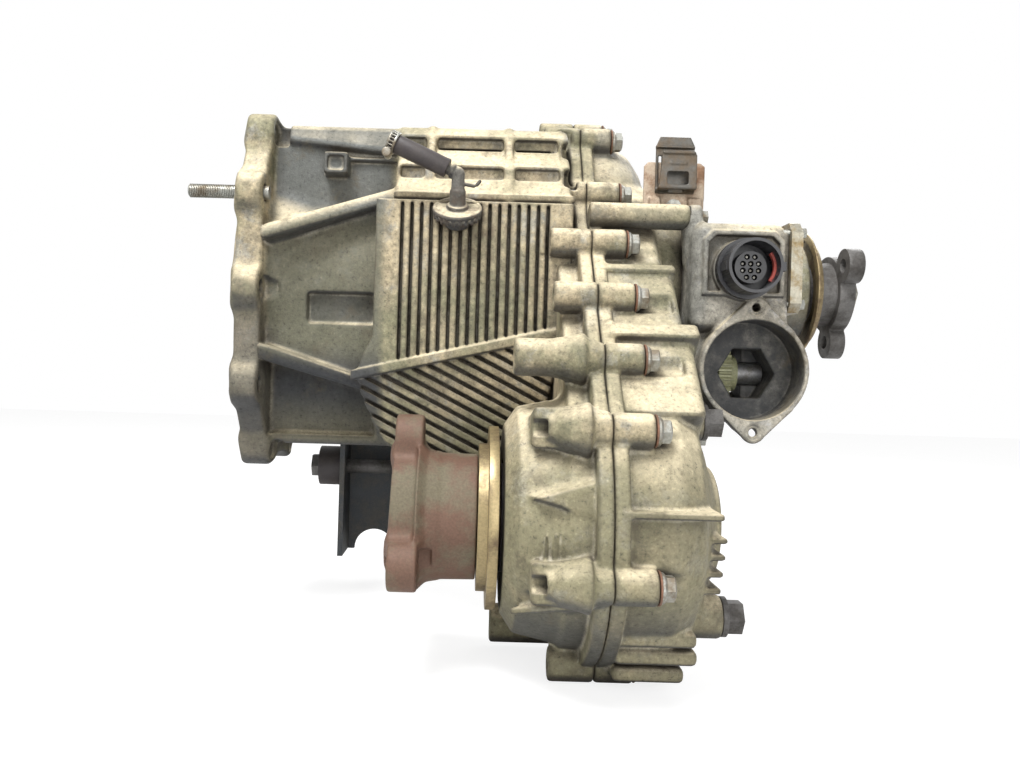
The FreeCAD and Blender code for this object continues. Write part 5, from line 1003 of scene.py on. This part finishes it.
def cast_material(name, sand, olive, grey, housing=False, seat=False):
    """Weathered casting: dusty tops with painted light, olive film, bare grey patches, painted shade below
    with some oil and in corners and creases, rubbed edges with painted highlight.
    """
    made, tree, shader = material(name)
    big = noise(tree, 11, 6, 0.68)
    mid = noise(tree, 42, 7, 0.72)
    mottle = noise(tree, 130, 5, 0.8)
    fine = noise(tree, 380, 4, 0.75)
    grain = noise(tree, 850, 3, 0.6)
    place = parts_of(tree, coordinates(tree))
    shape = tree.nodes.new("ShaderNodeNewGeometry")
    up = parts_of(tree, shape.outputs["Normal"])[2]
    edges = shape.outputs["Pointiness"]
    colour = mix(tree, ranged(tree, big, 0.40, 0.60), olive, sand)
    colour = mix(tree, ranged(tree, mid, 0.52, 0.66, 0, 0.75), colour, grey)
    clouds = ramp(tree, mottle, [(0.36, 0.5), (0.5, 0.92), (0.64, 1.35)])
    colour = mix(tree, 0.8, colour, clouds, "MULTIPLY")
    if housing:
        colour = housing_zones(tree, place, big, colour)
    # faces that look up are dusty and also carry painted light
    lit_dusty_tops = product(tree, ranged(tree, up, 0.25, 0.85), ranged(tree, big, 0.35, 0.6, 0.25, 0.9))
    colour = mix(tree, lit_dusty_tops, colour, DUST_AND_TOP_LIGHT)
    # painted shade on faces that look down, with some oil film in it
    colour = mix(tree, ranged(tree, up, -0.25, -0.75, 0, 0.8), colour, SHADE_SLATE)
    # sharp edges are rubbed bare and also carry a painted highlight
    rubbed_and_highlit = ramp(tree, edges, [(0.515, 0.0), (0.56, 1.0)])
    colour = mix(tree, product(tree, rubbed_and_highlit, ranged(tree, mid, 0.40, 0.58, 0.15, 0.85)), colour, WEAR_AND_HIGHLIGHT)
    # painted shade in corners, gaps and recesses
    corner_shade = product(tree, corner_shade_share(tree), ranged(tree, mid, 0.30, 0.55, 1.0, 0.8))
    colour = mix(tree, corner_shade, colour, CREASE_SHADE)
    # painted shade in creases, read off low pointiness
    colour = mix(tree, ramp(tree, edges, [(0.42, 0.8), (0.488, 0.0)]), colour, CREASE_SHADE)
    specks = ramp(tree, fine, [(0.30, 0.25), (0.43, 0.85), (0.58, 1.0), (0.72, 1.5)])
    colour = mix(tree, 0.85, colour, specks, "MULTIPLY")
    if seat:
        colour = mix(tree, seat_share(tree, place, mid), colour, BARE_SEAT)
    oil = product(tree, ranged(tree, noise(tree, 70, 6, 0.75), 0.46, 0.62),
                  zone(tree, place, ("X", 128, 140), ("X", 205, 180), ("Z", -30, 30), ("Z", 60, 45)), 0.55)
    colour = mix(tree, oil, colour, OIL)
    colour = mix(tree, ranged(tree, noise(tree, 24, 8, 0.8), 0.53, 0.68, 0, 0.7), colour, STAIN)
    tree.links.new(colour, shader.inputs["Base Color"])
    shader.inputs["Metallic"].default_value = 0.1
    tree.links.new(ramp(tree, mid, [(0.3, 0.85), (0.7, 0.55)]), shader.inputs["Roughness"])
    height = mix(tree, 0.5, mix(tree, 0.5, grain, fine), mottle)
    bump(tree, shader, height, 0.7, 0.0014)
    return made


def metal_material(name, base, film, rough, metallic, scale):
    """Machined, plated or moulded surface with a patchy film of another colour."""
    made, tree, shader = material(name)
    big = noise(tree, scale, 6, 0.7)
    fine = noise(tree, 700, 3, 0.6)
    colour = mix(tree, ramp(tree, big, [(0.45, 0.0), (0.62, 1.0)]), base, film)
    colour = mix(tree, 0.6, colour, ramp(tree, fine, [(0.3, 0.6), (0.7, 1.1)]), "MULTIPLY")
    tree.links.new(colour, shader.inputs["Base Color"])
    shader.inputs["Metallic"].default_value = metallic
    tree.links.new(ramp(tree, big, [(0.35, rough[0]), (0.7, rough[1])]), shader.inputs["Roughness"])
    bump(tree, shader, fine, 0.25, 0.0003)
    return made


# castings by slot: material, sand, olive and grey tints
MATERIALS = {
    "cast": cast_material("cast_alloy", (0.35, 0.29, 0.185), (0.17, 0.16, 0.095), (0.25, 0.245, 0.21),
                          housing=True),
    "grey": cast_material("die_cast", (0.34, 0.31, 0.25), (0.20, 0.195, 0.17), (0.33, 0.325, 0.31),
                          seat=True),
    "vent_grey": cast_material("vent_grey", (0.13, 0.12, 0.10), (0.07, 0.068, 0.06), (0.10, 0.10, 0.095)),
}
# other finishes: material, base, film, roughness, metallic, scale of the film
FINISHES = {
    "dark_paint": ("dark_paint", (0.045, 0.05, 0.055), (0.09, 0.085, 0.075), (0.5, 0.8), 0.2, 40),
    "dark_steel": ("dark_steel", (0.11, 0.105, 0.10), (0.055, 0.05, 0.045), (0.5, 0.8), 0.4, 50),
    "seal_red": ("seal_red", (0.42, 0.075, 0.05), (0.30, 0.05, 0.04), (0.4, 0.6), 0.0, 60),
    "washer": ("rusty_washer", (0.20, 0.10, 0.06), (0.12, 0.075, 0.05), (0.5, 0.8), 0.4, 60),
    "cover": ("cover_alloy", (0.30, 0.28, 0.22), (0.20, 0.14, 0.06), (0.3, 0.55), 0.6, 60),
    "steel": ("steel", (0.45, 0.45, 0.46), (0.25, 0.24, 0.22), (0.3, 0.55), 0.9, 60),
    "gear": ("gear_steel", (0.42, 0.41, 0.38), (0.30, 0.27, 0.20), (0.3, 0.55), 0.9, 60),
    "race": ("bearing_steel", (0.62, 0.62, 0.63), (0.5, 0.5, 0.5), (0.15, 0.3), 0.9, 60),
    "rust": ("rusty_forging", (0.12, 0.065, 0.042), (0.135, 0.115, 0.075), (0.6, 0.85), 0.2, 30),
    "shield": ("shield_sheet", (0.30, 0.235, 0.12), (0.12, 0.085, 0.05), (0.35, 0.6), 0.6, 40),
    "zinc": ("plated_steel", (0.31, 0.31, 0.28), (0.17, 0.14, 0.10), (0.35, 0.6), 0.7, 60),
    "friction": ("friction_facing", (0.20, 0.15, 0.10), (0.14, 0.11, 0.08), (0.8, 0.9), 0.0, 60),
    "rubber": ("black_rubber", (0.022, 0.016, 0.016), (0.042, 0.034, 0.031), (0.5, 0.75), 0.0, 60),
    "plastic": ("black_plastic", (0.012, 0.012, 0.014), (0.03, 0.03, 0.032), (0.3, 0.5), 0.0, 60),
    "contact": ("tinned_contacts", (0.16, 0.155, 0.14), (0.08, 0.075, 0.06), (0.3, 0.5), 0.8, 60),
    "bracket": ("worn_paint", (0.38, 0.30, 0.22), (0.20, 0.11, 0.06), (0.5, 0.8), 0.3, 50),
    "spring": ("spring_steel", (0.085, 0.08, 0.07), (0.10, 0.075, 0.05), (0.35, 0.6), 0.6, 60),
    "wheel": ("nylon_wheel", (0.30, 0.30, 0.17), (0.18, 0.18, 0.10), (0.35, 0.5), 0.0, 60),
}
for use, finish in FINISHES.items():
    MATERIALS[use] = metal_material(*finish)

# nodes whose finish isn't that of their slot
OWN = {"mount_bracket": "dark_paint", "rear_output_flange": "dark_steel", "mount_bolts": "dark_steel",
       "oil_plugs": "dark_steel"}
WELD_DISTANCE = 1e-5
EDGE_WIDTH = 0.0004
EDGE_ANGLE = math.radians(40)


def dress():
    """Each CAD node gets its material, and each one that shows gets softened edges."""
    slots = {s["node"]: s["material_slot"] for s in frame["record"]["subparts"]}
    for name, node in NODES.items():
        node.data.materials.clear()
        node.data.materials.append(MATERIALS[OWN.get(name, slots[name])])
        if not node.hide_render:
            weld = node.modifiers.new("weld", "WELD")
            weld.merge_threshold = WELD_DISTANCE
            edge = node.modifiers.new("edge", "BEVEL")
            edge.width = EDGE_WIDTH
            edge.segments = 2
            edge.limit_method = "ANGLE"
            edge.angle_limit = EDGE_ANGLE


# -------------------- stage (m)

AIM = Vector((0.2, -0.06, -0.06))
EYE = (0.170, -0.720, -0.075)
ROLL = math.radians(1.7)
SENSOR, FOCAL = 36, 31.764706
SHIFT_X, SHIFT_Y = 0.0392157, -0.0019608
FLOOR_HALF = 3.0
FLOOR_GAP = 0.0005
# lamps: place, size and power
LAMPS = {"key": ((-0.20, -0.75, 1.25), 0.6, 39), "front": ((0.5, -1.7, 0.35), 1.2, 15),
         "rear": ((0.9, 0.9, 0.9), 0.8, 12)}


def pale_floor():
    """A wide floor just under the part, that looks near white and still takes a shadow."""
    height = CAD_BOX[0][2] - FLOOR_GAP
    size = FLOOR_HALF
    mesh = bpy.data.meshes.new("floor")
    corners = ((-size, -size), (size, -size), (size, size), (-size, size))
    mesh.from_pydata([(x, y, height) for x, y in corners], [], [(0, 1, 2, 3)])
    floor = linked("floor", mesh)
    made, tree, shader = material("floor_paint")
    shader.inputs["Base Color"].default_value = (0.8, 0.8, 0.8, 1)
    shader.inputs["Roughness"].default_value = 0.8
    path = tree.nodes.new("ShaderNodeLightPath")
    white = tree.nodes.new("ShaderNodeEmission")
    white.inputs["Strength"].default_value = 1.35
    both = tree.nodes.new("ShaderNodeMixShader")
    tree.links.new(product(tree, path.outputs["Is Camera Ray"], 0.6), both.inputs[0])
    tree.links.new(shader.outputs[0], both.inputs[1])
    tree.links.new(white.outputs[0], both.inputs[2])
    tree.links.new(both.outputs[0], tree.nodes["Material Output"].inputs["Surface"])
    mesh.materials.append(made)


def surround():
    """A surround that is white to the eye and in reflections, and lights softly."""
    world = bpy.data.worlds.new("surround")
    bpy.context.scene.world = world
    world.use_nodes = True
    tree = world.node_tree
    back = tree.nodes["Background"]
    path = tree.nodes.new("ShaderNodeLightPath")
    seen = tree.nodes.new("ShaderNodeMath")
    seen.operation = "MAXIMUM"
    tree.links.new(path.outputs["Is Camera Ray"], seen.inputs[0])
    tree.links.new(path.outputs["Is Glossy Ray"], seen.inputs[1])
    strength = tree.nodes.new("ShaderNodeMapRange")
    strength.inputs["To Min"].default_value = 0.34
    strength.inputs["To Max"].default_value = 1.0
    tree.links.new(seen.outputs[0], strength.inputs["Value"])
    back.inputs["Color"].default_value = (1, 1, 1, 1)
    tree.links.new(strength.outputs[0], back.inputs["Strength"])


def lamps():
    for name, (place, size, power) in LAMPS.items():
        lamp = bpy.data.lights.new(name, "AREA")
        lamp.size = size
        lamp.energy = power
        made = linked(name, lamp)
        made.location = place
        made.rotation_euler = (AIM - Vector(place)).to_track_quat("-Z", "Y").to_euler()


def camera():
    """Camera that looks along Y from the near side, rolled a little."""
    lens = bpy.data.cameras.new("camera")
    lens.sensor_width = SENSOR
    lens.lens = FOCAL
    lens.shift_x = SHIFT_X
    lens.shift_y = SHIFT_Y
    made = linked("camera", lens)
    along_y = Matrix.Rotation(math.radians(90), 4, "X")
    made.matrix_world = Matrix.Translation(EYE) @ along_y @ Matrix.Rotation(ROLL, 4, "Z")
    bpy.context.scene.camera = made


def stage():
    pale_floor()
    surround()
    lamps()
    camera()
    bpy.context.scene.view_settings.view_transform = "Standard"


# -------------------- the part

WASHER_THICK = 1.2


def place_piece(made, slot, replaced=None, finish=None, body="casing"):
    made.data.materials.append(MATERIALS[finish or slot])
    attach(made, body)
    if replaced:
        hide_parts(replaced)


place_piece(front_housing(), "cast", "front_housing")
place_piece(fin_wall(), "cast")
place_piece(rear_housing(), "cast", "rear_housing")
place_piece(actuator(), "grey", "actuator_housing")
place_piece(vent_cap(), "plastic", "breather_cap", "vent_grey")
place_piece(hose_band(), "zinc", "hose_clamp")
place_piece(clip(), "spring", "cable_clip")
place_piece(clip_bracket(), "bracket", "cable_bracket")
place_piece(front_coupling(), "rust", "front_output_flange", body="front_output")
place_piece(seal_arc(), "plastic", finish="seal_red")
place_piece(threaded_stud(), "zinc", "gearbox_stud")
washer_seats = [(BOLT_SEAT, y, z) for y, z in SEAM]
place_piece(washers("seam_washers", washer_seats, inner=4.2, outer=9.6, thick=WASHER_THICK), "zinc",
            finish="washer")
bolt_seats = [(BOLT_SEAT + WASHER_THICK, y, z) for y, z in SEAM]
place_piece(hex_bolts("seam_bolts", bolt_seats, apothem=6.5, height=8, flange=8.6, shank=4, length=44),
            "zinc", "housing_bolts")
dress()
stage()
